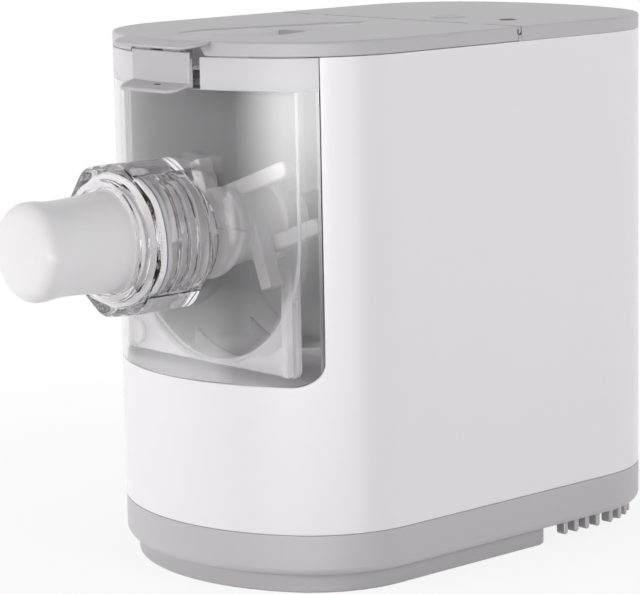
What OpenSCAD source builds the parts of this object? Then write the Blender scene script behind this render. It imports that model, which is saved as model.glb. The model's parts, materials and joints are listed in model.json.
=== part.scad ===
// Electric pasta maker: a white oval housing over a grey base, with a clear front that carries the
// extrusion barrel, a nut that clamps the forming die and a cap over the die's outlet.
// +Z is up, the nozzle points along -Y, and the origin is on the floor under the body's centre.

/* [Body] */
// Overall width of the body
body_w = 190; // [186:1:210]
// Overall length of the body, without the nozzle
body_l = 296; // [290:1:330]
// Length of the rounded front end
front_l = 76; // [74:1:84]
// Radius of the two front corners
front_corner_r = 68; // [60:1:70]
// Length of the rounded rear end
rear_l = 66; // [64:1:80]
// Radius of the two rear corners
rear_corner_r = 60; // [52:1:62]
// Height of the plinth that stands on the floor
plinth_h = 10; // [8:0.5:14]
// Height of the grey base band
band_h = 21.6; // [18:0.2:30]
// Height of the white housing
shell_h = 241.9; // [238:0.1:270]
// Height of the grey lid and rear cover
cap_h = 7.8; // [7.6:0.1:10]
// Wall thickness of the housing and base
shell_t = 2.6; // [2.2:0.1:3.2]

/* [Plinth and vents] */
// How far the plinth stands in from the body's outline
plinth_inset = 6.3; // [5:0.1:10]
// Rear end of the plinth, measured from the body's centre
plinth_rear_y = 40; // [30:1:60]
// Height of the rounded edge under the base band
band_edge = 4.5; // [3:0.1:6]
// Pitch of the vent ribs under the rear
vent_pitch = 8.5; // [7:0.1:12]
// Width of one vent rib
vent_rib_w = 3.4; // [2.5:0.1:4.5]
// Gap between the vent ribs and the floor
vent_gap = 2.6; // [1:0.1:5]
// Radius of the rubber feet
foot_r = 11; // [8:0.5:14]
// Thickness of the front rubber pads
pad_t = 2; // [1:0.1:3]

/* [Front opening and panel] */
// Distance from the body's side to the edge of the front opening
opening_margin = 14; // [12:0.5:20]
// Height of the lower edge of the front opening
opening_z = 108; // [104:0.5:112]
// Radius of the lower corners of the front opening
opening_corner_r = 12; // [6:0.5:20]
// Gap around the front panel
panel_gap = 0.4; // [0.3:0.05:0.8]
// Thickness of the clear front panel
panel_t = 2.5; // [2:0.1:3]

/* [Mixing chamber] */
// Distance from the body's side to the inside of the mixing tub
tub_margin = 29; // [28:0.5:34]
// Wall thickness of the mixing tub
tub_t = 2.5; // [2:0.1:3]
// Drop of the tub's round bottom below the drive axis
tub_drop = 2.5; // [0:0.5:4]
// Gap between the lower edge of the front opening and the tub's bottom
tub_lift = 3.5; // [2.5:0.1:6]
// Distance from the housing's top down to the tub's rim
tub_top_drop = 11.5; // [10.5:0.5:14]
// Distance from the body's front to the front face of the tub's rim
tub_setback = 31.5; // [31:0.5:34]
// Depth of the mixing chamber, from the tub's rim to the wall behind it
chamber_l = 74.5; // [70:0.5:78]
// Wall thickness of the chamber frame
liner_t = 2.2; // [1.8:0.1:3]
// Width of the tub's rim outside its wall
tub_rim_w = 2; // [1.5:0.1:2.5]
// Thickness of the rubber gasket on the tub's rim
gasket_t = 1.2; // [0.8:0.1:1.4]

/* [Extrusion head] */
// Inner radius of the extrusion barrel
barrel_r = 27.5; // [26:0.1:28]
// Wall thickness of the extrusion barrel
barrel_t = 4; // [3.5:0.1:4.2]
// How far the extrusion barrel reaches out in front of the body
barrel_reach = 27.5; // [24:0.5:32]
// Height of the thread on the barrel
thread_h = 2.4; // [2:0.1:2.8]
// Thickness of the clear plate behind the barrel
plate_t = 3; // [2.5:0.1:3.2]
// Thickness of the eight-sided nut at its corners, outside the bore
nut_t = 7.2; // [6.5:0.1:9]
// Gap between the nut's flat rear face and the panel's foremost point
nut_rear_gap = 1.5; // [1:0.1:4]
// Thickness of the nut's front wall
nut_front_t = 4; // [3:0.1:5]
// Wall thickness of the raised ring on the nut
nut_ring_t = 3.9; // [2.5:0.1:5]
// Height of the raised ring on the nut
nut_ring_h = 5; // [3:0.1:7]
// Gap between the raised ring and the cap in it
nut_mouth_gap = 1; // [0.5:0.1:1.5]
// Thickness of the forming die's flange
die_t = 4; // [3:0.1:5]
// Radius of the forming die's outlet boss
die_boss_r = 20; // [17:0.1:21]
// Length of the forming die's outlet boss
die_boss_l = 15; // [10:0.5:20]
// Radius of one outlet hole in the forming die
die_hole_r = 1.7; // [1:0.1:2.2]
// Outer radius of the cap at its open end
cap_base_r = 26.3; // [25:0.1:26.5]
// Outer radius of the cap at its waist
cap_waist_r = 23.9; // [23:0.1:25]
// Outer radius of the cap's rounded head
cap_head_r = 25; // [24:0.1:26]
// Length of the cap
cap_l = 58; // [52:0.5:64]

/* [Paddle] */
// Gap between the extrusion screw's flight and the barrel
screw_gap = 0.9; // [0.6:0.1:2]
// Radius of the screw's core
screw_core_r = 9; // [7:0.1:12]
// Turns of the extrusion screw
screw_turns = 2; // [1:0.25:3]
// Radius of the paddle's drum
drum_r = 20; // [17:0.1:21]
// Length of the paddle's drum
drum_l = 34; // [28:0.5:38]
// Gap between the paddle's arms and the tub
arm_gap = 8; // [6:0.5:14]
// Thickness of the paddle's arms, along the axis
arm_t = 9; // [6:0.5:11]

/* [Drive] */
// Radius of the output shaft
output_shaft_r = 6; // [5:0.1:7]
// Teeth on the output gear
output_teeth = 56; // [54:1:58]
// Teeth on the small gear that drives the output gear
pinion_teeth = 14; // [13:1:15]
// Tooth size of the output pair, as module
output_module = 1.5; // [1.4:0.05:1.55]
// Teeth on the large gear of the countershaft
counter_teeth = 60; // [56:1:62]
// Teeth on the motor's pinion
motor_teeth = 12; // [12:1:14]
// Tooth size of the motor pair, as module
motor_module = 1; // [0.9:0.05:1.05]
// Radius of the countershaft
counter_shaft_r = 4; // [3:0.1:5]
// Radius of the motor's can
motor_r = 33; // [28:0.5:36]
// Length of the motor's can
motor_l = 78; // [60:1:90]
// Radius of the motor's shaft
motor_shaft_r = 3; // [2.5:0.1:3.2]
// Wall thickness of the gearbox
gearbox_t = 3; // [2.5:0.1:4]

/* [Lid and controls] */
// Rear edge of the lid, measured from the body's centre
seam_y = 14; // [10:0.5:20]
// Gap between the lid and what it closes against
lid_gap = 0.3; // [0.2:0.05:0.4]
// Thickness of the lid's and rear cover's top skin
skin_t = 2.4; // [2:0.1:3]
// Radius of the lid's rolled rear edge, around its hinge
roll_r = 2; // [2:0.1:3]
// Radius of the hinge pins
hinge_pin_r = 1; // [0.8:0.1:1.2]
// Width of one hinge tongue
tongue_w = 10; // [8:0.5:14]
// Distance of the hinge tongues from the body's centre
tongue_x = 62; // [50:1:70]
// Half width of the pouring well in the lid
well_half_w = 31; // [24:0.5:34]
// Depth of the pouring well in the lid
well_depth = 15; // [12:0.5:15.5]
// Half width of the latch in the front of the lid
latch_half_w = 23; // [18:0.5:28]
// Gap at each side of the latch
latch_gap = 3.5; // [2:0.1:6]
// Height of the front panel's notch for the latch
latch_notch_h = 20; // [17:0.5:22]
// Distance of the start button from the body's middle plane
start_x = 16; // [0:1:20]
// Distance of the start button behind the seam
start_setback = 26; // [20:1:34]
// Radius of the start button
start_r = 10; // [8:0.5:12]
// Distance of the power button from the body's middle plane
power_x = 57; // [40:1:62]
// Distance of the power button behind the seam
power_setback = 29; // [20:1:34]
// Radius of the power button
power_r = 4.5; // [4:0.1:7]

/* [Hidden] */
$fn = 72;
eps = 0.01;
fit = 0.05; // radial clearance of a shaft in its bearing
play = 0.3; // clearance between pieces that meet without a fit

// heights of the main parting lines
band_z = plinth_h;
shell_z = band_z + band_h;
cap_z = shell_z + shell_h;
top_z = cap_z + cap_h;
rim_z = cap_z + lid_gap;

// outline of the body, seen from above
half_w = body_w / 2;
front_y = -body_l / 2;
rear_y = body_l / 2;
front_nose_r = nose_r(half_w, front_l, front_corner_r);
rear_nose_r = nose_r(half_w, rear_l, rear_corner_r);
front_corner_y = front_y + front_l;
rear_corner_y = rear_y - rear_l;
front_phi = atan2(front_corner_y - (front_y + front_nose_r), half_w - front_corner_r);
rear_phi = atan2(rear_corner_y - (rear_y - rear_nose_r), half_w - rear_corner_r);

// base: skirt into the housing, screws, vent slots and feet
skirt_h = 6;
skirt_t = 2.2;
pan_t = 3;
boss_r = 4.5;
boss_h = 12;
screw_hole_r = 1.7;
screw_head_r = 3;
screw_head_h = 2.2;
screw_inset = 35;
screw_end_inset = 15;
screw_x = half_w - screw_inset;
screw_ys = [front_corner_y + boss_h, plinth_rear_y - screw_end_inset];
screw_places = [for (x = [screw_x, -screw_x], y = screw_ys) [x, y]];
vent_slot_count = 7;
vent_slot_pitch = 12;
vent_slot_w = 5;
vent_slot_front_gap = 22;
vent_slot_rear_gap = 36;
vent_slot_front_y = plinth_rear_y + vent_slot_front_gap;
vent_slot_rear_y = rear_y - vent_slot_rear_gap;
front_pad_inset = 37;
front_pad_gap = 20;
side_pad_inset = 23;
side_pad_gap = 28;
front_pad = [half_w - front_pad_inset, front_corner_y - front_pad_gap];
side_pad = [half_w - side_pad_inset, plinth_rear_y - side_pad_gap];
pad_places = [for (s = [1, -1], p = [front_pad, side_pad]) [s * p[0], p[1]]];
rear_foot_inset = 43;
rear_foot_gap = 44;
rear_foot = [half_w - rear_foot_inset, rear_y - rear_foot_gap];

// front opening and chamber
opening_half = half_w - opening_margin;
tub_r = half_w - tub_margin;
tub_out_r = tub_r + tub_t;
tub_z = opening_z + tub_lift + tub_out_r;
tub_top_z = cap_z - tub_top_drop;
tub_front_y = front_y + tub_setback;
axis_z = tub_z + tub_drop;
liner_gap = 5.5;
liner_half = tub_out_r + tub_rim_w + liner_gap;
frame_inset = shell_t + play;
liner_floor_drop = 1;
liner_floor_z = opening_z - liner_floor_drop - liner_t;
liner_top_z = tub_top_z + tub_rim_w;
bulkhead_y = tub_front_y + chamber_l;
bulkhead_t = 2.4;
bulkhead_rear_y = bulkhead_y + bulkhead_t;
liner_front_y = tub_front_y + 4.5;
hoop_l = 40;
hoop_h = 3;
cradle_rib_half = tub_r - 28;
cradle_rib_top_z = tub_z - tub_r + 14;
cradle_rib_ys = [tub_front_y + 16.5, bulkhead_y - 20];
tub_rear_y = bulkhead_y - play;
tub_hub_r = 15;
gasket_front_y = tub_front_y - gasket_t;
gasket_top_z = tub_top_z - 6;
plate_rear_y = gasket_front_y - play;
plate_front_y = plate_rear_y - plate_t;
plate_rim = 0.5;
plate_half = tub_out_r + plate_rim;
plate_low_z = tub_z - tub_out_r;
latch_open_half = latch_half_w + latch_gap;
latch_open_z = cap_z - latch_notch_h;
plate_top_z = latch_open_z - 0.2;
panel_clear = 0.7;
inner_clear = panel_t + panel_clear;

// extrusion head
barrel_front_y = front_y - barrel_reach;
barrel_out_r = barrel_r + barrel_t;
thread_r = barrel_out_r + thread_h;
nut_bore_r = thread_r + 0.4;
nut_corner_r = nut_bore_r + nut_t;
nut_mouth_r = cap_base_r + nut_mouth_gap;
nut_ring_r = nut_mouth_r + nut_ring_t;
collar_y = front_y + 9;
collar_t = 3;
collar_h = 4;
catch_half = 15;
rail_x = plate_half - 7;
rail_t = 4;
stud_r = 6.5;
stud_inset = 9.5;
die_rear_y = barrel_front_y - play;
die_front_y = die_rear_y - die_t;
nut_wall_rear_y = die_front_y - play;
nut_wall_front_y = nut_wall_rear_y - nut_front_t;
nut_front_y = nut_wall_front_y - nut_ring_h;
nut_rear_y = front_y - nut_rear_gap;
cap_rear_y = nut_wall_front_y + nut_mouth_gap;
die_flange_gap = 1;
die_wall = 4;
cap_head_l = 15;
cap_wall = 2.2;
cap_edge_r = 8;
cap_crown = 1.5;
nut_turn = 13;
nut_corner_cut = 1.3;
die_flange_r = nut_bore_r - die_flange_gap;

// paddle
screw_r = barrel_r - screw_gap;
screw_end_gap = 4;
screw_front_y = barrel_front_y + screw_end_gap;
screw_rear_y = plate_rear_y + screw_end_gap;
drum_rear_y = screw_rear_y + drum_l;
arm_reach = tub_r - arm_gap;
coupler_r = 8;
coupler_l = 16;
hub_t = 5;
drum_rim = 3;
arm_turn = 20;
short_arm_reach = arm_reach - 14;
arm_setback = 8;
arm_pitch = 12;
paddle_gap = 20;
paddle_rear_y = bulkhead_y - paddle_gap;
coupler_rim = 3;
shaft_front_y = paddle_rear_y - coupler_l / 2;

// drive train, front to rear
case_front_y = bulkhead_rear_y + play;
case_inner_y = case_front_y + gearbox_t;
output_gear_w = 12;
counter_gear_w = 8;
gear_gap = 4;
gearbox_rim = 8;
case_gap = 3;
output_gear_y = case_inner_y + case_gap;
counter_gear_y = output_gear_y + output_gear_w + gear_gap;
case_rear_y = counter_gear_y + counter_gear_w + gear_gap;
cover_rear_y = case_rear_y + gearbox_t;
output_pitch_r = output_teeth * output_module / 2;
pinion_pitch_r = pinion_teeth * output_module / 2;
counter_pitch_r = counter_teeth * motor_module / 2;
motor_pitch_r = motor_teeth * motor_module / 2;
counter_z = axis_z - output_pitch_r - pinion_pitch_r;
motor_z = counter_z - counter_pitch_r - motor_pitch_r;
bearing_t = 5;
bearing_wall = 4;
bearing_boss = 6.5;
cradle_inset = 7;
cradle_t = 4;
cradle_gap = 12;
motor_front_y = cover_rear_y + case_gap;
motor_rear_y = motor_front_y + motor_l;
end_cap_t = 6;
can_t = 2;
vent_half = 4;
winding_gap = 16;
armature_gap = 8;
armature_slot_w = 2.4;
armature_slot_h = 6;
fan_gap = 3;
fan_l = 8;
fan_y = motor_rear_y + end_cap_t + fan_gap;

// lid and controls
hinge_y = seam_y - roll_r;
hinge_z = top_z - roll_r;
hinge_clear_r = roll_r + 0.5;
seam_gap = 0.6;
shelf_drop = 7.9;
shelf_z = cap_z - shelf_drop;
shelf_t = 1.5;
well_setback = 20;
well_front_y = front_y + well_setback;
well_rear_gap = 22;
well_rear_y = seam_y - well_rear_gap;
well_tip_r = 5;
well_ramp_l = 44;
well_ramp_y = well_rear_y - well_ramp_l;
slot_half = 11;
slot_gap = 4;
slot_front_gap = 16;
slot_rear_gap = 7;
slot_count = 3;
slot_front_y = well_front_y + slot_front_gap;
slot_pitch = (well_ramp_y - slot_rear_gap - slot_front_y + slot_gap) / slot_count;
board_drop = 12;
board_t = 1.6;
board_z = cap_z - board_drop;
board_rim = 16;
post_r = 3;
post_inset = 5;
switch_h = 3;
start_pos = [start_x, seam_y + start_setback];
power_pos = [power_x, seam_y + power_setback];
board_low = start_pos - [board_rim + 6, board_rim];
board_high = power_pos + [board_rim + post_inset, board_rim + post_r];
board_post_xs = [board_low[0] + 4, board_high[0] - 6];
board_post_ys = [board_low[1] + 4, board_high[1] - 4];
board_posts = [for (x = board_post_xs, y = board_post_ys) [x, y]];
button_gap = 0.35;
button_stroke = 1.5;
button_flange = 1.5;
latch_pin_r = 1.5;
latch_pin_l = 30;
hinge_pin_l = 27;
latch_ear_t = 4;
latch_pivot_setback = 6.5;
latch_pivot_drop = 5.5;
latch_pivot = [front_y + latch_pivot_setback, cap_z - latch_pivot_drop];
plug_half = tub_out_r - 0.5;
plug_t = 2;
plug_front_y = gasket_front_y + 5;
plug_rear_y = bulkhead_y - 9;
lip_h = 5;
ear_r = 3;
latch_ear_x = 7;
latch_t = 2.5;
latch_end_gap = 1.2;
latch_lip_l = 12;
latch_lip_t = 3;
latch_lip_half = latch_half_w + 1.5;
latch_bow_half = latch_half_w + 8;
latch_low_z = latch_open_z + 0.8;
latch_curve_r = 80;
latch_face = latch_t / 2 + 0.05;
latch_edge_t = 1.2;
lip_half = latch_open_half + 7;
lip_l = 7.3;
lip_r = 4;
lip_gap = 0.6;
latch_slot_half = latch_open_half + 1.5;
latch_slot_y = front_y + 9;
lid_gasket_t = 1.3;
lid_gasket_z = tub_top_z + play;
magnet_r = 4;
magnet_t = 3;
magnet_x = 40;
magnet_gap = 22;
magnet_y = bulkhead_y + magnet_gap;
power_board_w = 90;
power_board_h = 85;
power_board_drop = 123.5;
power_board_z = cap_z - power_board_drop;
power_board_gap = 16;
power_board_y = rear_y - power_board_gap;
inlet_w = 30;
inlet_h = 23;
inlet_depth = 17;
inlet_wall = 3;
socket_w = 24.4;
socket_h = 16.4;
inlet_lift = 28;
inlet_z = shell_z + inlet_lift;
pin_t = 2;
pin_w = 4;
pin_x = 7;

// the radius of an end's middle arc, so that it runs on from both corner arcs
function nose_r(w, l, r) = (w * w + l * l - 2 * w * r) / (2 * (l - r));
// points along an arc, from index first to n
function arc(c, r, a0, a1, n, first = 0) =
    [for (i = [first:n]) let (a = a0 + (a1 - a0) * i / n) c + r * [cos(a), sin(a)]];
// the body's outline, drawn in by a distance
function outline(inset) = let (cf = half_w - front_corner_r, cr = half_w - rear_corner_r) concat(
    arc([cf, front_corner_y], front_corner_r - inset, front_phi, 0, 14, 1),
    arc([cr, rear_corner_y], rear_corner_r - inset, 0, rear_phi, 14),
    arc([0, rear_y - rear_nose_r], rear_nose_r - inset, rear_phi, 180 - rear_phi, 10, 1),
    arc([-cr, rear_corner_y], rear_corner_r - inset, 180 - rear_phi, 180, 14, 1),
    arc([-cf, front_corner_y], front_corner_r - inset, 180, 180 - front_phi, 14),
    arc([0, front_y + front_nose_r], front_nose_r - inset, 180 - front_phi, 360 + front_phi, 14, 1)
);
// a pear-shaped loop round two circles on the Y axis
function pear(r1, y1, r2, y2, n = 12) = let (a = asin((r1 - r2) / (y2 - y1))) concat(
    arc([0, y1], r1, 180 - a, 360 + a, 2 * n),
    arc([0, y2], r2, a, 180 - a, n)
);
// half the width of a gear tooth's space on the pitch circle, as an angle
function involute(t) = tan(t) - t * PI / 180;
// one flank of a tooth: radius r on a gear of pitch radius p, as an angle from the tooth's middle
function flank(p, teeth, r, lash) = let (base = p * cos(20), t = acos(min(1, base / r)))
    (PI / (2 * teeth) - lash / (2 * p) + involute(20) - involute(t)) * 180 / PI;

module prism(inset, z0, z1) {
    translate([0, 0, z0]) linear_extrude(z1 - z0) polygon(outline(inset));
}

// a block given by its low and high corners
module block(low, high) {
    translate(low) cube(high - low);
}

// a cylinder along Y, from y0 to y1, round an axis at height z
module rod(r, y0, y1, z, x = 0) {
    translate([x, y1, z]) rotate([90, 0, 0]) cylinder(r = r, h = y1 - y0);
}

// a shape drawn in X and Z, pushed through from y0 to y1
module slab(y0, y1) {
    translate([0, y1, 0]) rotate([90, 0, 0]) linear_extrude(y1 - y0) children();
}

// the front opening's outline in X and Z, drawn in by a gap
module opening_shape(gap, top) {
    r = opening_corner_r - gap;
    x = opening_half - opening_corner_r;
    z = opening_z + opening_corner_r;
    polygon(concat(
        [[-opening_half + gap, top]],
        arc([-x, z], r, 180, 270, 8),
        arc([x, z], r, 270, 360, 8),
        [[opening_half - gap, top]]
    ));
}

// the tub's section: a half circle with upright sides, drawn out by a distance
module tub_shape(r, top) {
    polygon(concat([[-r, top]], arc([0, tub_z], r, 180, 360, 32), [[r, top]]));
}

// a screw with a domed head, its head down at the origin and its shank up
module screw(head_r, head_h, shank_r, shank_l) {
    cylinder(r = head_r, h = head_h);
    translate([0, 0, head_h - eps]) cylinder(r = shank_r, h = shank_l + eps);
}

// a spur gear along Y with a bore, one of its teeth at a given angle
module gear(teeth, mod, w, bore, turn, lash = 0.25) {
    p = teeth * mod / 2;
    tip = p + mod * 0.85;
    root = p - mod * 1.15;
    base = p * cos(20) + 0.01;
    radii = root < base ? [root, base, p, tip] : [root, p, tip];
    last = len(radii) - 1;
    pts = [for (k = [0:teeth - 1], i = [0:2 * last + 1]) let (
        r = radii[i <= last ? i : 2 * last + 1 - i],
        side = i <= last ? -1 : 1,
        a = turn + k * 360 / teeth + side * flank(p, teeth, max(r, base), lash)
    ) r * [cos(a), sin(a)]];
    translate([0, w, 0]) rotate([90, 0, 0]) linear_extrude(w) difference() {
        polygon(pts);
        circle(r = bore);
    }
}

module housing() {
    color("whitesmoke") {
        difference() {
            prism(0, shell_z, cap_z);
            prism(shell_t, shell_z - 1, cap_z + 1);
            slab(front_y - 10, front_corner_y - 20) opening_shape(0, cap_z + 1);
            inlet_hole();
        }
        // posts for the power board
        post_x = power_board_w / 2 - post_inset;
        intersection() {
            prism(shell_t - 1, shell_z, cap_z);
            for (s = [-1, 1], z = [post_inset, power_board_h - post_inset])
                rod(post_r, power_board_y + board_t, rear_y, power_board_z + z, s * post_x);
        }
    }
}

module inlet_hole() {
    low = inlet_z - inlet_h / 2;
    block([-inlet_w / 2, rear_y - inlet_depth, low], [inlet_w / 2, rear_y + 1, low + inlet_h]);
}

module base_pan() {
    floor_z = band_z + pan_t;
    color("silver") difference() {
        union() {
            difference() {
                union() {
                    hull() {
                        prism(band_edge, band_z, band_z + 0.5);
                        prism(band_edge * 0.3, band_z + band_edge * 0.3, band_z + band_edge * 0.3 + 0.5);
                        prism(0, band_z + band_edge, band_z + band_edge + 0.5);
                    }
                    prism(0, band_z + band_edge, shell_z);
                    prism(shell_t + 0.2, shell_z - 1, shell_z + skirt_h);
                }
                prism(shell_t + 0.2 + skirt_t, floor_z, shell_z + skirt_h + 1);
            }
            vent_ribs();
            for (p = screw_places) translate([p[0], p[1], floor_z - eps]) cylinder(r = boss_r, h = boss_h);
        }
        for (p = screw_places) translate([p[0], p[1], band_z - 1]) cylinder(r = screw_hole_r, h = boss_h + 2);
        for (i = [0:vent_slot_count - 1]) {
            x = (i - (vent_slot_count - 1) / 2) * vent_slot_pitch - vent_slot_w / 2;
            block([x, vent_slot_front_y, band_z - 1], [x + vent_slot_w, vent_slot_rear_y, floor_z + 1]);
        }
    }
}

// one vent rib at the origin, its long side along X
module vent_rib() {
    rib_l = skirt_h;
    bottom = vent_gap + vent_rib_w / 2;
    translate([-rib_l, -vent_rib_w / 2, bottom]) cube([rib_l, vent_rib_w, band_z + 0.5 - bottom]);
    translate([-rib_l, 0, bottom]) rotate([0, 90, 0]) cylinder(r = vent_rib_w / 2, h = rib_l, $fn = 24);
}

// vent ribs along both rear sides, round the corners and across the back
module vent_ribs() {
    inset = band_edge + seam_gap;
    first_y = plinth_rear_y + vent_slot_pitch;
    side_n = floor((rear_corner_y - first_y) / vent_pitch);
    corner_arc = (rear_corner_r - inset) * rear_phi * PI / 180;
    corner_n = floor(corner_arc / vent_pitch);
    rear_arc = (rear_nose_r - inset) * (180 - 2 * rear_phi) * PI / 180;
    rear_n = floor(rear_arc / vent_pitch);
    for (s = [0, 1]) mirror([s, 0, 0]) {
        for (i = [0:side_n]) translate([half_w - inset, first_y + i * vent_pitch, 0]) vent_rib();
        for (i = [1:corner_n]) translate([half_w - rear_corner_r, rear_corner_y, 0])
            rotate([0, 0, rear_phi * (i - 0.3) / corner_n])
            translate([rear_corner_r - inset, 0, 0]) vent_rib();
    }
    for (i = [1:rear_n]) translate([0, rear_y - rear_nose_r, 0])
        rotate([0, 0, rear_phi + (180 - 2 * rear_phi) * (i - 0.5) / rear_n])
        translate([rear_nose_r - inset, 0, 0]) vent_rib();
}

module plinth() {
    floor_t = 3.5;
    color("darkgray") difference() {
        union() {
            difference() {
                intersection() {
                    prism(plinth_inset, 0, band_z);
                    plinth_bounds(0);
                }
                intersection() {
                    prism(plinth_inset + shell_t, floor_t, band_z + 1);
                    plinth_bounds(shell_t);
                }
            }
            for (p = screw_places) translate([p[0], p[1], 1]) cylinder(r = boss_r + 1, h = band_z - 1);
        }
        for (p = pad_places) translate([p[0], p[1], -1]) cylinder(r = foot_r + 0.2, h = pad_t + 1);
        for (p = screw_places) translate([p[0], p[1], 0]) {
            translate([0, 0, -1]) cylinder(r = screw_head_r + 0.4, h = band_z - pan_t);
            cylinder(r = screw_hole_r, h = band_z + 1);
        }
    }
}

// everything in front of the plinth's rear end, with rounded rear corners
module plinth_bounds(inset) {
    r = 8;
    x = half_w - plinth_inset - inset;
    y = plinth_rear_y - inset;
    linear_extrude(band_z + 1) polygon(concat(
        [[-x, front_y], [x, front_y]],
        arc([x - r, y - r], r, 0, 90, 8),
        arc([r - x, y - r], r, 90, 180, 8)
    ));
}

module rubber_pads() {
    color("dimgray") for (p = pad_places) translate([p[0], p[1], 0]) cylinder(r = foot_r, h = pad_t);
}

module rear_feet() {
    color("dimgray") for (s = [-1, 1]) translate([s * rear_foot[0], rear_foot[1], 0])
        cylinder(r1 = foot_r - 1, r2 = foot_r, h = plinth_h);
}

module rear_cover() {
    color("silver") difference() {
        union() {
            difference() {
                prism(0, cap_z, top_z);
                prism(shell_t, cap_z - 1, top_z - skin_t);
                block([-half_w - 1, front_y - 10, cap_z - 1], [half_w + 1, seam_y + seam_gap, top_z + 1]);
            }
            // the sill under the lid's rolled edge
            block([-half_w, hinge_y + seam_gap, cap_z], [half_w, seam_y + 1, hinge_z - roll_r - seam_gap]);
            // the wall down to the shelf, and the shelf under the lid's rear part
            intersection() {
                prism(frame_inset, shelf_z - shelf_t, top_z - skin_t + eps);
                union() {
                    block([-half_w, seam_y + seam_gap, shelf_z - shelf_t], [half_w, seam_y + 3, top_z]);
                    block([-half_w, bulkhead_y + 0.5, shelf_z - shelf_t], [half_w, seam_y + 3, shelf_z]);
                }
            }
            // a skirt that locates the cover inside the housing
            difference() {
                prism(frame_inset, cap_z - 4, cap_z + eps);
                prism(frame_inset + 2, cap_z - 5, cap_z + 1);
                block([-half_w, front_y - 10, cap_z - 6], [half_w, seam_y + 1, cap_z + 2]);
            }
            for (s = [-1, 1]) translate([s * tongue_x - tongue_w / 2, 0, 0]) {
                block([0, hinge_y, hinge_z - roll_r], [tongue_w, seam_y + 2, top_z]);
                cross_pin(roll_r, tongue_w, tongue_w / 2, hinge_y, hinge_z);
            }
            for (p = board_posts) translate([p[0], p[1], board_z + board_t])
                cylinder(r = post_r, h = top_z - skin_t - board_z - board_t + eps);
        }
        for (s = [-1, 1]) cross_pin(hinge_pin_r + fit, 2 * tongue_w, s * tongue_x, hinge_y, hinge_z);
        for (b = [[start_pos, start_r], [power_pos, power_r]])
            translate([b[0][0], b[0][1], cap_z - 1]) cylinder(r = b[1] + button_gap, h = cap_h + 2);
    }
}
module chamber_frame() {
    color("gainsboro") difference() {
        intersection() {
            prism(frame_inset, liner_floor_z, liner_top_z);
            union() {
                block([-half_w, front_y, liner_floor_z], [half_w, bulkhead_rear_y, liner_floor_z + liner_t]);
                block([-half_w, bulkhead_y, liner_floor_z], [half_w, bulkhead_rear_y, liner_top_z]);
                for (s = [0, 1]) mirror([s, 0, 0])
                    block([liner_half, liner_front_y, liner_floor_z],
                        [liner_half + liner_t, bulkhead_y + 1, liner_top_z]);
                // ribs that cradle the tub
                difference() {
                    for (y = cradle_rib_ys) block([-cradle_rib_half, y, liner_floor_z],
                        [cradle_rib_half, y + liner_t, cradle_rib_top_z]);
                    rod(tub_out_r + play, tub_front_y, bulkhead_y, tub_z);
                }
                // the hoop behind the front panel's upper edge
                difference() {
                    block([-half_w, front_y, tub_top_z - hoop_h], [half_w, front_y + hoop_l, tub_top_z]);
                    prism(frame_inset + liner_t, tub_top_z - hoop_h - 1, tub_top_z + 1);
                }
            }
        }
        rod(tub_hub_r + 0.1, bulkhead_y - 1, bulkhead_rear_y + 1, axis_z);
    }
}

module mixing_tub() {
    color([0.85, 0.88, 0.9, 0.4]) difference() {
        union() {
            slab(tub_front_y, tub_rear_y) tub_shape(tub_out_r, tub_top_z);
            slab(tub_front_y, tub_front_y + tub_t) tub_shape(tub_out_r + tub_rim_w, tub_top_z);
        }
        slab(tub_front_y - 1, tub_rear_y - tub_t) tub_shape(tub_r, tub_top_z + 1);
        rod(tub_hub_r, tub_rear_y - tub_t - 1, tub_rear_y + 1, axis_z);
    }
}

module tub_gasket() {
    color("lightgray") difference() {
        slab(gasket_front_y, tub_front_y) tub_shape(tub_out_r - 0.2, gasket_top_z);
        slab(gasket_front_y - 1, tub_front_y + 1) tub_shape(tub_r + 0.3, gasket_top_z + 1);
    }
}

module lid() {
    ear_x = latch_ear_x + latch_ear_t + 1;
    color("silver") difference() {
        union() {
            difference() {
                prism(0, rim_z, top_z);
                prism(shell_t, rim_z - 1, top_z - skin_t);
                block([-latch_slot_half, front_y - 10, rim_z - 1],
                    [latch_slot_half, latch_slot_y, top_z - lip_h]);
            }
            // the plug that closes the tub
            difference() {
                plug(0, lid_gasket_z + lid_gasket_t, top_z - skin_t + eps);
                plug(plug_t, tub_top_z, top_z - skin_t);
            }
            well(0);
            // rear roll, the front lip over the latch and the latch's ears
            cross_pin(roll_r, body_w, 0, hinge_y, hinge_z);
            lid_lip();
            for (s = [-1, 1]) translate([s * ear_x - latch_ear_t / 2, latch_pivot[0], 0])
                block([0, -ear_r, latch_pivot[1] - ear_r], [latch_ear_t, ear_r, top_z - skin_t + eps]);
        }
        well(skin_t);
        pour_slots();
        // room behind the lip for the latch's upper edge
        intersection() {
            sheet(-latch_face - lip_gap, shell_t + 0.1, top_z - lip_h - 1, top_z - skin_t);
            block([-latch_slot_half, front_y - 10, rim_z], [latch_slot_half, latch_slot_y, top_z]);
        }
        // all that lies behind the hinge's axis and outside the roll
        difference() {
            block([-half_w - 1, hinge_y, rim_z - 1], [half_w + 1, rear_y + 1, top_z + 1]);
            cross_pin(roll_r, body_w + 4, 0, hinge_y, hinge_z);
        }
        for (s = [-1, 1]) {
            block([s * tongue_x - tongue_w / 2 - play, hinge_y - hinge_clear_r, rim_z - 1],
                [s * tongue_x + tongue_w / 2 + play, seam_y + 1, top_z + 1]);
            cross_pin(hinge_pin_r, hinge_pin_l + 1, s * tongue_x, hinge_y, hinge_z);
        }
        cross_pin(latch_pin_r + fit, latch_pin_l + 10, 0, latch_pivot[0], latch_pivot[1]);
    }
}

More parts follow.
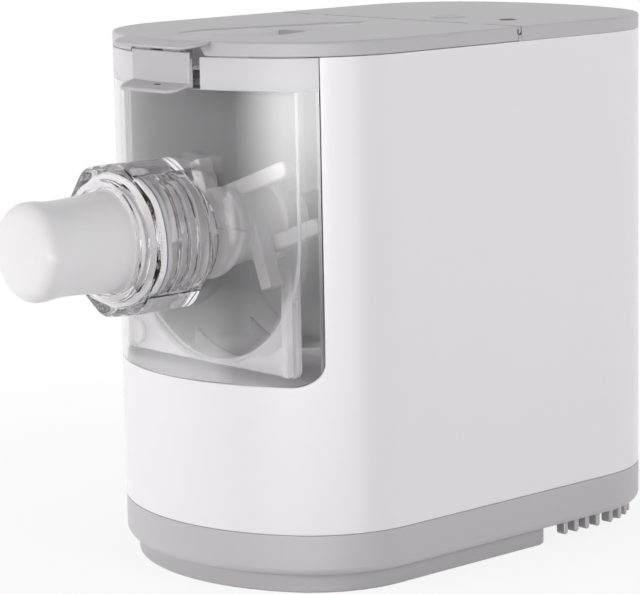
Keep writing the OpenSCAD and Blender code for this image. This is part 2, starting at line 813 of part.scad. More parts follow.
// the plug's outline drawn in by a distance, from z0 to z1
module plug(inset, z0, z1) {
    x = plug_half - inset;
    block([-x, plug_front_y + inset, z0], [x, plug_rear_y - inset, z1]);
}

// a pin along X, round its middle point
module cross_pin(r, l, x, y, z) {
    translate([x - l / 2, y, z]) rotate([0, 90, 0]) cylinder(r = r, h = l);
}

// a wall along the outline, between two insets
module sheet(outer, inner, z0, z1) {
    difference() {
        prism(outer, z0, z1);
        prism(inner, z0 - 1, z1 + 1);
    }
}

// a lens in front of the nose: half its chord, its depth and its heights, cut to half a width
module bow(half, depth, z0, z1, cut) {
    chord_y = front_y + 3;
    r = (half * half + depth * depth) / (2 * depth);
    intersection() {
        translate([0, chord_y - depth + r, z0]) cylinder(r = r, h = z1 - z0);
        block([-cut, chord_y - depth - 1, z0], [cut, chord_y + 3, z1]);
    }
}

// the lip over the latch, with its lower corners rounded
module lid_lip() {
    low = top_z - lip_h;
    intersection() {
        bow(lip_half, lip_l, low - 1, top_z, lip_half + 1);
        slab(front_y - 20, front_y + 20) polygon(concat(
            [[-lip_half, top_z + 1]],
            arc([-lip_half + lip_r, low + lip_r], lip_r, 180, 270, 6),
            arc([lip_half - lip_r, low + lip_r], lip_r, 270, 360, 6),
            [[lip_half, top_z + 1]]
        ));
    }
}

// the pouring well, its floor rising to the rear: its outside for 0, its hollow for the skin's thickness
module well(skin) {
    low = top_z - well_depth - skin_t + skin;
    high = skin == 0 ? top_z - eps : top_z + 1;
    tip_z = top_z - skin_t - shelf_t + skin;
    rear = well_rear_y + 3;
    big_r = well_half_w + skin_t - skin;
    tip_r = well_tip_r + skin_t - skin;
    intersection() {
        translate([0, 0, low - 1]) linear_extrude(high - low + 1)
            polygon(pear(big_r, well_front_y + well_half_w, tip_r, well_rear_y - well_tip_r));
        translate([-half_w, 0, 0]) rotate([90, 0, 90]) linear_extrude(body_w)
            polygon([[front_y, low], [well_ramp_y, low], [rear, tip_z], [rear, high], [front_y, high]]);
    }
}

// slots in the floor of the well, with ribs left between them
module pour_slots() {
    floor_z = top_z - well_depth;
    for (i = [0:slot_count - 1]) translate([0, slot_front_y + i * slot_pitch, floor_z])
        block([-slot_half, 0, -skin_t - 1], [slot_half, slot_pitch - slot_gap, 1]);
}

module lid_gasket() {
    color("gray") difference() {
        plug(0, lid_gasket_z, lid_gasket_z + lid_gasket_t);
        plug(plug_t, lid_gasket_z - 1, lid_gasket_z + lid_gasket_t + 1);
    }
}

module hinge_pins() {
    color("lightsteelblue") for (s = [-1, 1])
        cross_pin(hinge_pin_r, hinge_pin_l, s * tongue_x, hinge_y, hinge_z);
}

// the magnet in the lid that tells the reed switch that the lid is shut
module lid_magnet() {
    color("slategray") translate([magnet_x, magnet_y, top_z - skin_t - magnet_t])
        cylinder(r = magnet_r, h = magnet_t);
}

module reed_switch() {
    top = shelf_z - shelf_t - play;
    color("seagreen") translate([magnet_x, magnet_y, top])
        block([-magnet_r - 3, -magnet_r - 2, -magnet_r], [magnet_r + 3, magnet_r + 2, 0]);
}

module lid_latch() {
    color("silver") difference() {
        union() {
            intersection() {
                union() {
                    sheet(-latch_face, latch_t - latch_face, latch_open_z + 1, cap_z - latch_end_gap);
                    sheet(-latch_face, latch_edge_t - latch_face, cap_z - 3, top_z - lip_h - lip_gap);
                }
                block([-latch_half_w, front_y - 5, 0], [latch_half_w, front_y + 10, top_z]);
                latch_curve(0);
            }
            difference() {
                intersection() {
                    bow(latch_bow_half, latch_lip_l, latch_low_z - 1, latch_low_z + 12, latch_lip_half);
                    latch_curve(0);
                }
                latch_curve(latch_lip_t);
                prism(latch_face / 2, latch_low_z - 2, latch_low_z + 13);
            }
            for (s = [-1, 1]) translate([s * latch_ear_x - latch_ear_t / 2, latch_pivot[0], latch_pivot[1]])
                block([0, 0.5 - latch_pivot_setback, -ear_r], [latch_ear_t, ear_r - 0.5, ear_r - 0.5]);
        }
        cross_pin(latch_pin_r, latch_pin_l + 10, 0, latch_pivot[0], latch_pivot[1]);
    }
}

// the underside of the latch's finger lip, whose ends sweep up, drawn in by a distance
module latch_curve(inset) {
    rod(latch_curve_r - inset, front_y - 20 - inset, front_y + 20 + inset, latch_low_z + latch_curve_r);
}

module latch_pin() {
    color("lightsteelblue") cross_pin(latch_pin_r, latch_pin_l, 0, latch_pivot[0], latch_pivot[1]);
}

module latch_spring() {
    turns = 5;
    wire_r = 0.6;
    coil_gap = 0.1;
    pitch = 2 * wire_r + coil_gap;
    color("darkgray") for (i = [0:turns - 1])
        translate([(i - (turns - 1) / 2) * pitch, latch_pivot[0], latch_pivot[1]]) rotate([0, 90, 0])
        rotate_extrude($fn = 32) translate([latch_pin_r + play + wire_r, 0]) circle(r = wire_r, $fn = 14);
}

module front_panel() {
    color([0.85, 0.88, 0.9, 0.35]) difference() {
        intersection() {
            difference() {
                prism(0, opening_z, cap_z - play);
                prism(panel_t, opening_z - 1, cap_z);
            }
            slab(front_y - 5, front_corner_y - 20) opening_shape(panel_gap, cap_z);
        }
        rod(thread_r + play, front_y - 5, front_y + 40, axis_z);
        block([-latch_open_half, front_y - 5, latch_open_z], [latch_open_half, front_y + 20, cap_z]);
    }
}

module extrusion_barrel() {
    color([0.85, 0.88, 0.9, 0.4]) difference() {
        union() {
            rod(barrel_out_r, barrel_front_y, plate_rear_y, axis_z);
            rod(thread_r, barrel_front_y + 3, collar_y + collar_t - 0.5, axis_z);
            rod(thread_r + collar_h, collar_y, collar_y + collar_t, axis_z);
            intersection() {
                prism(inner_clear, plate_low_z, plate_top_z);
                slab(plate_front_y, plate_rear_y) plate_shape();
            }
            block([-catch_half, plate_front_y - plate_t, axis_z + 14],
                [catch_half, plate_front_y + 1, axis_z + thread_r + 4.1]);
            for (s = [0, 1]) mirror([s, 0, 0]) {
                intersection() {
                    block([rail_x, front_y, plate_low_z], [rail_x + rail_t, plate_front_y + 1, axis_z - 14]);
                    prism(inner_clear, plate_low_z, tub_top_z);
                }
                translate([plate_half - stud_inset, 0, 0])
                    rod(stud_r, plate_front_y - 2, plate_rear_y, plate_low_z + stud_inset);
            }
        }
        rod(barrel_r, barrel_front_y - 1, plate_rear_y + 1, axis_z);
    }
}

// the clear plate's outline in X and Z
module plate_shape() {
    r = 5;
    polygon(concat(
        [[-plate_half, plate_top_z]],
        arc([-plate_half + r, plate_low_z + r], r, 180, 270, 6),
        arc([plate_half - r, plate_low_z + r], r, 270, 360, 6),
        [[plate_half, plate_top_z]]
    ));
}

module barrel_seal() {
    color("dimgray") difference() {
        rod(barrel_out_r + 2, barrel_front_y + 0.5, barrel_front_y + 2.8, axis_z);
        rod(barrel_out_r + fit, barrel_front_y, barrel_front_y + 4, axis_z);
    }
}

module forming_die() {
    holes = 8;
    hole_ring_r = die_boss_r - 9;
    end_y = die_front_y - die_boss_l;
    color("white") difference() {
        union() {
            rod(die_flange_r, die_front_y, die_rear_y, axis_z);
            rod(die_boss_r, end_y, die_front_y + eps, axis_z);
        }
        rod(die_boss_r - die_wall, end_y + die_wall + 1, die_rear_y + 1, axis_z);
        for (k = [0:holes - 1]) let (a = 360 * k / holes)
            rod(die_hole_r, end_y - 1, die_rear_y, axis_z + hole_ring_r * sin(a), hole_ring_r * cos(a));
        rod(die_hole_r, end_y - 1, die_rear_y, axis_z);
    }
}

module nozzle_nut() {
    color([0.85, 0.88, 0.9, 0.45]) difference() {
        union() {
            intersection() {
                translate([0, nut_rear_y, axis_z]) rotate([90, nut_turn, 0])
                    cylinder(r = nut_corner_r, h = nut_rear_y - nut_wall_front_y, $fn = 8);
                rod(nut_corner_r - nut_corner_cut, nut_wall_front_y - 1, nut_rear_y + 1, axis_z);
            }
            rod(nut_ring_r, nut_front_y, nut_wall_front_y + eps, axis_z);
        }
        rod(nut_bore_r, nut_wall_rear_y, nut_rear_y + 1, axis_z);
        rod(nut_mouth_r, nut_front_y - 1, nut_wall_rear_y + 1, axis_z);
    }
}

module outlet_cap() {
    head_y = cap_l - cap_head_l;
    inner_r = die_boss_r + play;
    end_y = cap_l - cap_crown;
    profile = concat(
        [[inner_r, 0], [cap_base_r, 0], [cap_waist_r + 0.6, cap_l * 0.35]],
        [[cap_waist_r, head_y - 4], [cap_waist_r + 0.3, head_y - 1], [cap_head_r, head_y + 3]],
        arc([cap_head_r - cap_edge_r, end_y - cap_edge_r], cap_edge_r, 0, 80, 8),
        [[cap_edge_r, cap_l - 0.4], [0, cap_l]],
        [[0, end_y - cap_wall], [inner_r - cap_edge_r, end_y - cap_wall]],
        [[inner_r, end_y - cap_wall - cap_edge_r + cap_crown]]
    );
    color("snow") translate([0, cap_rear_y, axis_z]) rotate([90, 0, 0])
        rotate_extrude($fn = 96) polygon(profile);
}

module mixing_paddle() {
    socket_r = coupler_r + 0.2;
    color("white") difference() {
        union() {
            rod(screw_core_r, screw_front_y, paddle_rear_y, axis_z);
            screw_flight();
            rod(drum_r, screw_rear_y, drum_rear_y, axis_z);
            rod(drum_r + drum_rim, drum_rear_y - 2 * drum_rim, drum_rear_y, axis_z);
            for (a = [arm_turn, arm_turn + 180]) {
                arm(screw_rear_y + arm_setback, a, 1);
                arm(screw_rear_y + arm_setback + arm_pitch, a, -1);
                short_arm(screw_rear_y + arm_setback, a + 90);
            }
            rod(coupler_r + hub_t, drum_rear_y - 1, paddle_rear_y, axis_z);
        }
        translate([0, paddle_rear_y + 1, axis_z]) rotate([90, 0, 0])
            cylinder(r = socket_r, h = coupler_l + 1, $fn = 6);
    }
}

// a screw thread with a deep flight, wound round the core
module screw_flight() {
    l = screw_rear_y - screw_front_y;
    w = 22;
    translate([0, screw_rear_y, axis_z]) rotate([90, 0, 0])
        linear_extrude(l, twist = -360 * screw_turns, slices = 14 * screw_turns) polygon(concat(
            arc([0, 0], screw_r, -w, w, 4),
            arc([0, 0], screw_core_r - 2, 2 * w, -2 * w, 3)
        ));
}

// one paddle arm: a bar that leaves the drum along a tangent, in a plane across the axis
module arm(y, turn, side) {
    offset_r = drum_r - 4;
    reach = sqrt(arm_reach * arm_reach - (drum_r + 1) * (drum_r + 1));
    translate([0, y + arm_t, axis_z]) rotate([90, -turn, 0]) mirror([0, side < 0 ? 1 : 0, 0])
        linear_extrude(arm_t) polygon(concat(
            [[-6, offset_r - 5], [reach * 0.5, offset_r - 3]],
            arc([reach - 5, offset_r - 1], 5, -80, 80, 6),
            [[reach * 0.5, offset_r + 4], [-6, offset_r + 1]]
        ));
}

// a short square-ended arm between the long ones
module short_arm(y, turn) {
    offset_r = drum_r - 4;
    reach = sqrt(short_arm_reach * short_arm_reach - (drum_r + 1) * (drum_r + 1));
    translate([0, y + arm_t, axis_z]) rotate([90, -turn, 0]) linear_extrude(arm_t) polygon([
        [-6, offset_r - 5], [reach, offset_r - 4.5], [reach, offset_r + 4], [-6, offset_r + 1]
    ]);
}

module drive_coupler() {
    color("dimgray") difference() {
        union() {
            translate([0, paddle_rear_y, axis_z]) rotate([90, 0, 0])
                cylinder(r = coupler_r, h = coupler_l - 1, $fn = 6);
            rod(coupler_r + coupler_rim, paddle_rear_y + play, bulkhead_y - 1, axis_z);
            rod(coupler_r - 1.5, paddle_rear_y - 1, paddle_rear_y + play + eps, axis_z);
        }
        rod(output_shaft_r, shaft_front_y, bulkhead_y, axis_z);
    }
}

module output_shaft() {
    color("lightsteelblue") rod(output_shaft_r, shaft_front_y, cover_rear_y + 1, axis_z);
}

module output_gear() {
    color("ivory") {
        translate([0, output_gear_y, axis_z])
            gear(output_teeth, output_module, output_gear_w, output_shaft_r, 270);
    }
}

// a plain ring bearing round a shaft
module bearing(r, y, z) {
    difference() {
        rod(r + bearing_wall, y, y + bearing_t, z);
        rod(r + fit, y - 1, y + bearing_t + 1, z);
    }
}

module output_bearings() {
    color("darkgoldenrod") {
        bearing(output_shaft_r, case_front_y, axis_z);
        bearing(output_shaft_r, cover_rear_y - bearing_t, axis_z);
    }
}

module shaft_seal() {
    color("dimgray") difference() {
        rod(tub_hub_r - 0.2, tub_rear_y - tub_t, bulkhead_rear_y + 0.1, axis_z);
        rod(output_shaft_r + fit, bulkhead_y - 10, bulkhead_y + 10, axis_z);
        rod(coupler_r + coupler_rim + 0.4, bulkhead_y - 10, bulkhead_y - 0.5, axis_z);
    }
}

// the gearbox's outline in X and Z
module gearbox_shape(inset) {
    wide = output_pitch_r + gearbox_rim - inset;
    narrow = counter_pitch_r + gearbox_rim - inset;
    polygon(concat(
        arc([0, axis_z], wide, -30, 210, 30),
        arc([0, motor_z + gearbox_rim], narrow, 190, 350, 20)
    ));
}

module gearbox_case() {
    color("lightgray") difference() {
        union() {
            difference() {
                slab(case_front_y, case_rear_y) gearbox_shape(0);
                slab(case_inner_y, case_rear_y + 1) gearbox_shape(gearbox_t);
            }
            // bosses round the front bearings
            rod(output_shaft_r + bearing_boss, case_front_y + 1, case_front_y + bearing_t, axis_z);
            rod(counter_shaft_r + bearing_boss, case_inner_y - 1, case_inner_y + 2, counter_z);
        }
        rod(output_shaft_r + bearing_wall, case_front_y - 1, case_rear_y, axis_z);
        rod(counter_shaft_r + bearing_wall, case_inner_y - 2, case_rear_y, counter_z);
    }
}

module gearbox_cover() {
    color("lightgray") difference() {
        slab(case_rear_y, cover_rear_y) gearbox_shape(0);
        rod(output_shaft_r + bearing_wall, case_rear_y - 1, cover_rear_y + 1, axis_z);
        rod(counter_shaft_r + bearing_wall, case_rear_y - 1, cover_rear_y + 1, counter_z);
        rod(motor_shaft_r + 6, case_rear_y - 1, cover_rear_y + 1, motor_z);
    }
}

module counter_shaft() {
    color("lightsteelblue") rod(counter_shaft_r, case_inner_y - 1.5, cover_rear_y + 1, counter_z);
}

module counter_gear() {
    color("ivory") translate([0, counter_gear_y, counter_z])
        gear(counter_teeth, motor_module, counter_gear_w, counter_shaft_r, 270);
}

module counter_pinion() {
    w = counter_gear_y - output_gear_y;
    color("tan") translate([0, output_gear_y, counter_z])
        gear(pinion_teeth, output_module, w, counter_shaft_r, 90 + 180 / pinion_teeth);
}

module counter_bearings() {
    color("darkgoldenrod") {
        difference() {
            rod(counter_shaft_r + bearing_wall, case_inner_y - 2, case_inner_y + 2, counter_z);
            rod(counter_shaft_r + fit, case_inner_y - 3, case_inner_y + 3, counter_z);
        }
        bearing(counter_shaft_r, cover_rear_y - bearing_t, counter_z);
    }
}

module motor_can() {
    color("gray") difference() {
        rod(motor_r, motor_front_y, motor_rear_y, motor_z);
        rod(motor_r - can_t, motor_front_y + can_t + 1, motor_rear_y + 1, motor_z);
        rod(motor_shaft_r + bearing_wall, motor_front_y - 1, motor_front_y + bearing_t, motor_z);
        for (k = [0:5]) translate([0, motor_front_y, motor_z]) rotate([0, 60 * k, 0])
            block([motor_r - 16, -1, -vent_half], [motor_r - 7, can_t + 2, vent_half]);
    }
}

module motor_end_cap() {
    color("dimgray") difference() {
        rod(motor_r, motor_rear_y, motor_rear_y + end_cap_t, motor_z);
        rod(motor_shaft_r + bearing_wall, motor_rear_y - 1, motor_rear_y + end_cap_t + 1, motor_z);
        for (k = [0:5]) translate([0, motor_rear_y, motor_z]) rotate([0, 60 * k, 0])
            block([motor_r - 19, -1, -vent_half], [motor_r - 7, end_cap_t + 1, vent_half]);
    }
}

module armature() {
    slots = 12;
    core_r = motor_r - armature_gap;
    color("darkorange") difference() {
        rod(core_r, motor_front_y + winding_gap, motor_rear_y - winding_gap, motor_z);
        for (k = [0:slots - 1]) translate([0, motor_front_y, motor_z]) rotate([0, 360 * k / slots, 0])
            block([core_r - armature_slot_h, 0, -armature_slot_w / 2],
                [motor_r, motor_l, armature_slot_w / 2]);
        rod(motor_shaft_r, motor_front_y, motor_rear_y, motor_z);
    }
}

module motor_shaft() {
    color("lightsteelblue") rod(motor_shaft_r, counter_gear_y - 1, fan_y + fan_l + 1, motor_z);
}

module motor_pinion() {
    color("tan") translate([0, counter_gear_y, motor_z])
        gear(motor_teeth, motor_module, counter_gear_w, motor_shaft_r, 90 + 180 / motor_teeth);
}

module motor_bearings() {
    color("darkgoldenrod") for (y = [motor_front_y, motor_rear_y + 1])
        bearing(motor_shaft_r, y - 0.5, motor_z);
}

module cooling_fan() {
    blades = 9;
    blade_t = 1.6;
    hub_r = motor_shaft_r + 5;
    fan_r = motor_r - 4;
    blade_inset = 1;
    color("white") difference() {
        union() {
            rod(hub_r, fan_y, fan_y + fan_l, motor_z);
            rod(fan_r, fan_y, fan_y + blade_t, motor_z);
            for (k = [0:blades - 1]) translate([0, fan_y, motor_z]) rotate([0, 360 * k / blades, 0])
                block([hub_r - 1, 1, -blade_t / 2], [fan_r - blade_inset, fan_l - blade_inset, blade_t / 2]);
        }
        rod(motor_shaft_r, fan_y - 1, fan_y + fan_l + 1, motor_z);
    }
}

module motor_cradle() {
    x = motor_r - cradle_inset;
    color("gainsboro") difference() {
        for (y = [motor_front_y + cradle_gap - cradle_t, motor_rear_y - cradle_gap - 2]) translate([0, y, 0])
            block([-x, 0, band_z + pan_t], [x, cradle_t, motor_z - cradle_gap]);
        rod(motor_r + play, motor_front_y - 5, motor_rear_y + 5, motor_z);
    }
}

module control_board() {
    color("seagreen") {
        block([board_low[0], board_low[1], board_z], [board_high[0], board_high[1], board_z + board_t]);
        for (p = [start_pos, power_pos]) translate([p[0], p[1], board_z + board_t - eps])
            block([-switch_h, -switch_h, 0], [switch_h, switch_h, switch_h + eps]);
    }
}

// a button: its cap, retaining flange and stem, over the board's switch
module button(r, p, proud) {
    flange_z = top_z - skin_t - play - button_flange;
    stem_z = board_z + board_t + switch_h + button_stroke + 0.2;
    translate([p[0], p[1], 0]) {
        translate([0, 0, flange_z]) cylinder(r = r, h = top_z + proud - flange_z);
        translate([0, 0, flange_z]) cylinder(r = r + button_flange, h = button_flange);
        translate([0, 0, stem_z]) cylinder(r = button_flange + 1, h = flange_z - stem_z + eps);
    }
}

module start_button() {
    color("gainsboro") button(start_r, start_pos, 0.8);
}

module power_button() {
    color("dimgray") button(power_r, power_pos, 0.4);
}

module power_board() {
    half = power_board_w / 2;
    transformer = [35, 22, 30];
    relay = [23, 14, 17];
    capacitor_r = 9;
    capacitor_l = 26;
    upper_z = power_board_z + power_board_h - 30;
    color("seagreen") {
        translate([0, power_board_y, power_board_z]) block([-half, 0, 0], [half, board_t, power_board_h]);
        translate([15 - half, power_board_y - transformer[1], power_board_z + 10])
            cube(transformer + [0, eps, 0]);
        translate([10 - half, power_board_y - relay[1], upper_z]) cube(relay + [0, eps, 0]);
        rod(capacitor_r, power_board_y - capacitor_l, power_board_y + eps, upper_z, half - 20);
    }
}

module power_inlet() {
    x = inlet_w / 2 - 0.2;
    z = inlet_h / 2 - 0.2;
    back_y = -inlet_depth - inlet_wall;
    color("black") difference() {
        translate([0, rear_y, inlet_z]) difference() {
            block([-x, back_y, -z], [x, -0.5, z]);
            block([-socket_w / 2, -inlet_depth, -socket_h / 2], [socket_w / 2, 1, socket_h / 2]);
        }
        pins();
    }
}

// the inlet's three flat pins
module pins() {
    back_y = -inlet_depth - inlet_wall;
    for (p = [[-pin_x, -1.5], [pin_x, -1.5], [0, 2.5]]) translate([p[0], rear_y, inlet_z + p[1]])
        block([-pin_t / 2, back_y, -pin_w / 2], [pin_t / 2, -pin_w, pin_w / 2]);
}

module inlet_pins() {
    color("silver") pins();
}

module gearbox_screws() {
    r = output_pitch_r + gearbox_rim / 2;
    color("lightsteelblue") for (a = [40, 140, -20, 200])
        rod(screw_head_r, cover_rear_y, cover_rear_y + 2, axis_z + r * sin(a), r * cos(a));
}

module base_screws() {
    color("lightsteelblue") for (p = screw_places) translate([p[0], p[1], band_z - pan_t - screw_head_h - 1])
        screw(screw_head_r, screw_head_h, screw_hole_r - 0.1, boss_h + 2);
}

housing();
base_pan();
plinth();
rubber_pads();
rear_feet();
rear_cover();
chamber_frame();
mixing_tub();
tub_gasket();
lid();
lid_gasket();
hinge_pins();
lid_magnet();
reed_switch();
lid_latch();
latch_pin();
latch_spring();
front_panel();
extrusion_barrel();
barrel_seal();
forming_die();
nozzle_nut();
outlet_cap();
mixing_paddle();
drive_coupler();
output_shaft();
output_gear();
output_bearings();
shaft_seal();
gearbox_case();
gearbox_cover();
counter_shaft();
counter_gear();
counter_pinion();
counter_bearings();
motor_can();
motor_end_cap();
armature();
motor_shaft();
motor_pinion();
motor_bearings();
cooling_fan();
motor_cradle();
control_board();
start_button();
power_button();
power_board();
power_inlet();
inlet_pins();
gearbox_screws();
base_screws();
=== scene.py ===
# Electric pasta maker: the dressed model of an upright machine with a clear front and a screw-on nozzle.
# Lengths inside the shape functions are millimetres in the part's own frame: +Z up, the nozzle along -Y.
# A grid is an array of points, along a loop first and then from ring to ring, and piece() fills it with quads.

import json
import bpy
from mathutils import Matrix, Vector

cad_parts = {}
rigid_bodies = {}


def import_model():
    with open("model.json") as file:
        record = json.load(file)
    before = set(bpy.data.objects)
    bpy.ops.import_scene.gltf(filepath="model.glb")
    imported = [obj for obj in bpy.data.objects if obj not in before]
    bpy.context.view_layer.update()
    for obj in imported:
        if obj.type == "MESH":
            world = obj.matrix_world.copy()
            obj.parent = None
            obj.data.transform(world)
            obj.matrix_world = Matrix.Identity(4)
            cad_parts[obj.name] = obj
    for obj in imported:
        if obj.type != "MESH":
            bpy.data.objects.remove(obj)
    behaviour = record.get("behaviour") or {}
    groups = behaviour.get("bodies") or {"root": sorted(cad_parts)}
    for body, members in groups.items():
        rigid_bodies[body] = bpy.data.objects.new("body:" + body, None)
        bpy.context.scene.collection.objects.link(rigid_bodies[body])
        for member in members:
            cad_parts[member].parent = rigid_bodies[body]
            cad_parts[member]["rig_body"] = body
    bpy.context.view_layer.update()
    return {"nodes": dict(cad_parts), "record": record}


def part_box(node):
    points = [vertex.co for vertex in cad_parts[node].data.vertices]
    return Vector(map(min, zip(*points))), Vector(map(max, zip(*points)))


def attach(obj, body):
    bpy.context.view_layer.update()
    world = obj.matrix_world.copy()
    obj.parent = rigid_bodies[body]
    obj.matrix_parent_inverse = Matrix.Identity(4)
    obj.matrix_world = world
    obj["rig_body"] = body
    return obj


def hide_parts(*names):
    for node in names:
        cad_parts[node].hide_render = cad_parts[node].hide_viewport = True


bl_info = {
    "name": "Pasta maker",
    "version": (1, 0, 0),
    "blender": (4, 5, 0),
    "location": "View3D > Sidebar > Pasta maker",
    "description": "Builds the shells, nozzle, paddle and controls of an electric pasta maker, with its stage",
    "category": "Add Mesh",
}

from math import acos, asin, atan2, cos, pi, radians, sin, sqrt, tan

import bmesh
import bpy
import numpy as np
from bpy.props import FloatProperty, FloatVectorProperty, IntProperty, PointerProperty
from mathutils import Matrix, Vector

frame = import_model()
SLOTS = {row["node"]: row.get("material_slot") for row in frame["record"]["subparts"]}


def mm(node):
    """The low and high corner of a solid of the frame, in millimetres."""
    low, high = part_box(node)
    return np.array(low) * 1000, np.array(high) * 1000


SHELL_LOW, SHELL_HIGH = mm("housing")
PANEL_LOW, PANEL_HIGH = mm("front_panel")
TUB_LOW, TUB_HIGH = mm("mixing_tub")
BARREL_LOW, BARREL_HIGH = mm("extrusion_barrel")
NUT_LOW, NUT_HIGH = mm("nozzle_nut")
CAP_LOW, CAP_HIGH = mm("outlet_cap")
PADDLE_LOW, PADDLE_HIGH = mm("mixing_paddle")

HALF_W = SHELL_HIGH[0]
FRONT_Y, REAR_Y = SHELL_LOW[1], SHELL_HIGH[1]
BAND_Z, SHELL_Z, CAP_Z, TOP_Z = 10.0, SHELL_LOW[2], SHELL_HIGH[2], mm("rear_cover")[1][2]
AXIS_Z = (CAP_LOW[2] + CAP_HIGH[2]) / 2
# the body's outline: length of each end and radius of its corners
FRONT_L, FRONT_R, REAR_L, REAR_R = 76.0, 68.0, 66.0, 60.0
FRONT_CX, FRONT_CY = HALF_W - FRONT_R, FRONT_Y + FRONT_L
REAR_CX, REAR_CY = HALF_W - REAR_R, REAR_Y - REAR_L
# the lid's hinge: its line, the rolled edge's radius, the tongues' middle and half width, and the gap round each
HINGE_Y, HINGE_Z, ROLL_R = 12.0, TOP_Z - 2.0, 2.0
TONGUE_X, TONGUE_HALF, TONGUE_GAP = 62, 5, (56.7, 67.3)
# the lid: thickness of its top, and its pouring well: y and radius of its wide end and of its tip, where its
# ramp begins, its depth, and its slots
TOP_T = 2.4
WELL_Y, WELL_R, TIP_Y, TIP_R, RAMP_Y, WELL_DEPTH = -97, 31, -13, 5, -52, 15
SLOT_Y, SLOT_L, SLOT_PITCH, SLOT_COUNT = -112, 15, 19, 3
# the tub's inner radius, the outside of its wall and of its rim, and the height of its round bottom's axis
TUB_R, TUB_WALL_R, TUB_RIM_R = 66, 68.5, 70.5
TUB_Z = TUB_LOW[2] + TUB_RIM_R
BARREL_R, BORE_R = 31.5, 27.5
START_AT, POWER_AT = (16.0, 40.0), (57.0, 43.0)


def srgb(text):
    """An sRGB hex colour as linear red, green and blue."""
    c = np.array([int(text[i : i + 2], 16) for i in (1, 3, 5)]) / 255
    return tuple(np.where(c <= 0.04045, c / 12.92, ((c + 0.055) / 1.055) ** 2.4))


def colour(name, text, description):
    """A colour that the panel shows, from its sRGB hex text."""
    look = {"size": 3, "subtype": "COLOR", "min": 0, "max": 1}
    return FloatVectorProperty(name=name, description=description, default=srgb(text), **look)


def length(name, metres, description):
    """A length that the panel shows."""
    unit = {"subtype": "DISTANCE", "unit": "LENGTH", "min": 0}
    return FloatProperty(name=name, description=description, default=metres, **unit)


class PastaMakerSizes(bpy.types.PropertyGroup):
    wall: length("Wall", 0.0026, "Thickness of the moulded housing")
    clear_wall: length("Clear wall", 0.0025, "Thickness of the clear front")
    top_edge: length("Top edge", 0.0014, "Rounding of the upper edges of lid and rear cover")
    band_edge: length("Band edge", 0.0045, "Rounding under the grey base band")
    thread_pitch: length("Thread pitch", 0.006, "Advance of the nozzle's thread in one turn")
    rib_pitch: length("Vent rib pitch", 0.0085, "Distance between the vent ribs under the rear")
    screw_turns: FloatProperty(
        name="Screw turns", description="Turns of the extrusion screw", default=2.0, min=0.5, max=4)
    arc_steps: IntProperty(
        name="Arc steps", description="Steps along each rounded corner of the body", default=40, min=8, max=96)


class PastaMakerColours(bpy.types.PropertyGroup):
    white_shell: colour("White shell", "#F3F0F3", "Gloss white of the housing")
    grey_trim: colour("Grey trim", "#C3C0C3", "Satin grey of lid, rear cover and base band")
    plinth: colour("Plinth", "#B4B1B4", "Darker grey of the set-back plinth")
    chamber: colour("Chamber", "#8E8C90", "Grey of the walls round the mixing tub")
    food_white: colour("Food white", "#F0EEEF", "Milky white of cap, die and paddle")
    clear: colour("Clear parts", "#FAF9FA", "Tint of the clear front, barrel, nut and tub")


# ---------------------------------------------------------------- curves and grids


def nose_r(w, l, r):
    """Radius of an end's middle arc that runs on from both corner arcs."""
    return (w * w + l * l - 2 * w * r) / (2 * (l - r))


FRONT_NOSE, REAR_NOSE = nose_r(HALF_W, FRONT_L, FRONT_R), nose_r(HALF_W, REAR_L, REAR_R)
FRONT_PHI = atan2(FRONT_CY - (FRONT_Y + FRONT_NOSE), FRONT_CX)
REAR_PHI = atan2(REAR_CY - (REAR_Y - REAR_NOSE), REAR_CX)


def points(*values):
    """Coordinates, each one number or an array, as an array of points."""
    return np.stack(np.broadcast_arrays(*values), -1)


def at_z(loop, z):
    """A loop of x and y, set at a height."""
    return points(loop[:, 0], loop[:, 1], z)


def at_y(loop, y):
    """A loop of x and z, set at y."""
    return points(loop[:, 0], y, loop[:, 1])


def closed(rings):
    """Rings of points as one grid, whose last row repeats the first to close it."""
    grid = np.stack(rings, 1)
    return np.concatenate([grid, grid[:1]])


def fan_tip(ring):
    """A ring's middle, once for each of its points, so that quads between both close its end."""
    return np.tile(ring.mean(0), (len(ring), 1))


def mids(values):
    """The middle between each value and the next."""
    return (values[:-1] + values[1:]) / 2


def mirrored(right):
    """The mirror image of a half outline, from its end back to its start."""
    return right[::-1] * (-1, 1)


def polar(centre, r, a):
    """Points at a distance r and angle a: centre plus r times cosine and sine of the angle."""
    return points(centre[0] + r * np.cos(a), centre[1] + r * np.sin(a))


def bearing(loop, centre):
    """The angle at which a centre sees each point, and the way from the centre to it."""
    rel = loop - np.array(centre)
    return np.arctan2(rel[:, 1], rel[:, 0]), rel


def arc(c, r, a0, a1, n, first=0):
    """n steps along an arc from one angle to another."""
    return polar(c, r, np.linspace(a0, a1, n + 1)[first:])


def steps():
    """Steps along each rounded corner of the body."""
    return bpy.context.scene.pasta_sizes.arc_steps


def size(key):
    """One of the lengths that the panel shows, in millimetres."""
    return getattr(bpy.context.scene.pasta_sizes, key) * 1000


def rear_arcs(inset, end):
    """The rear right corner's arc and the rear's middle arc, which stops at an angle."""
    return np.vstack([
        arc((REAR_CX, REAR_CY), REAR_R - inset, 0, REAR_PHI, steps()),
        arc((0, REAR_Y - REAR_NOSE), REAR_NOSE - inset, REAR_PHI, end, steps(), 1),
    ])


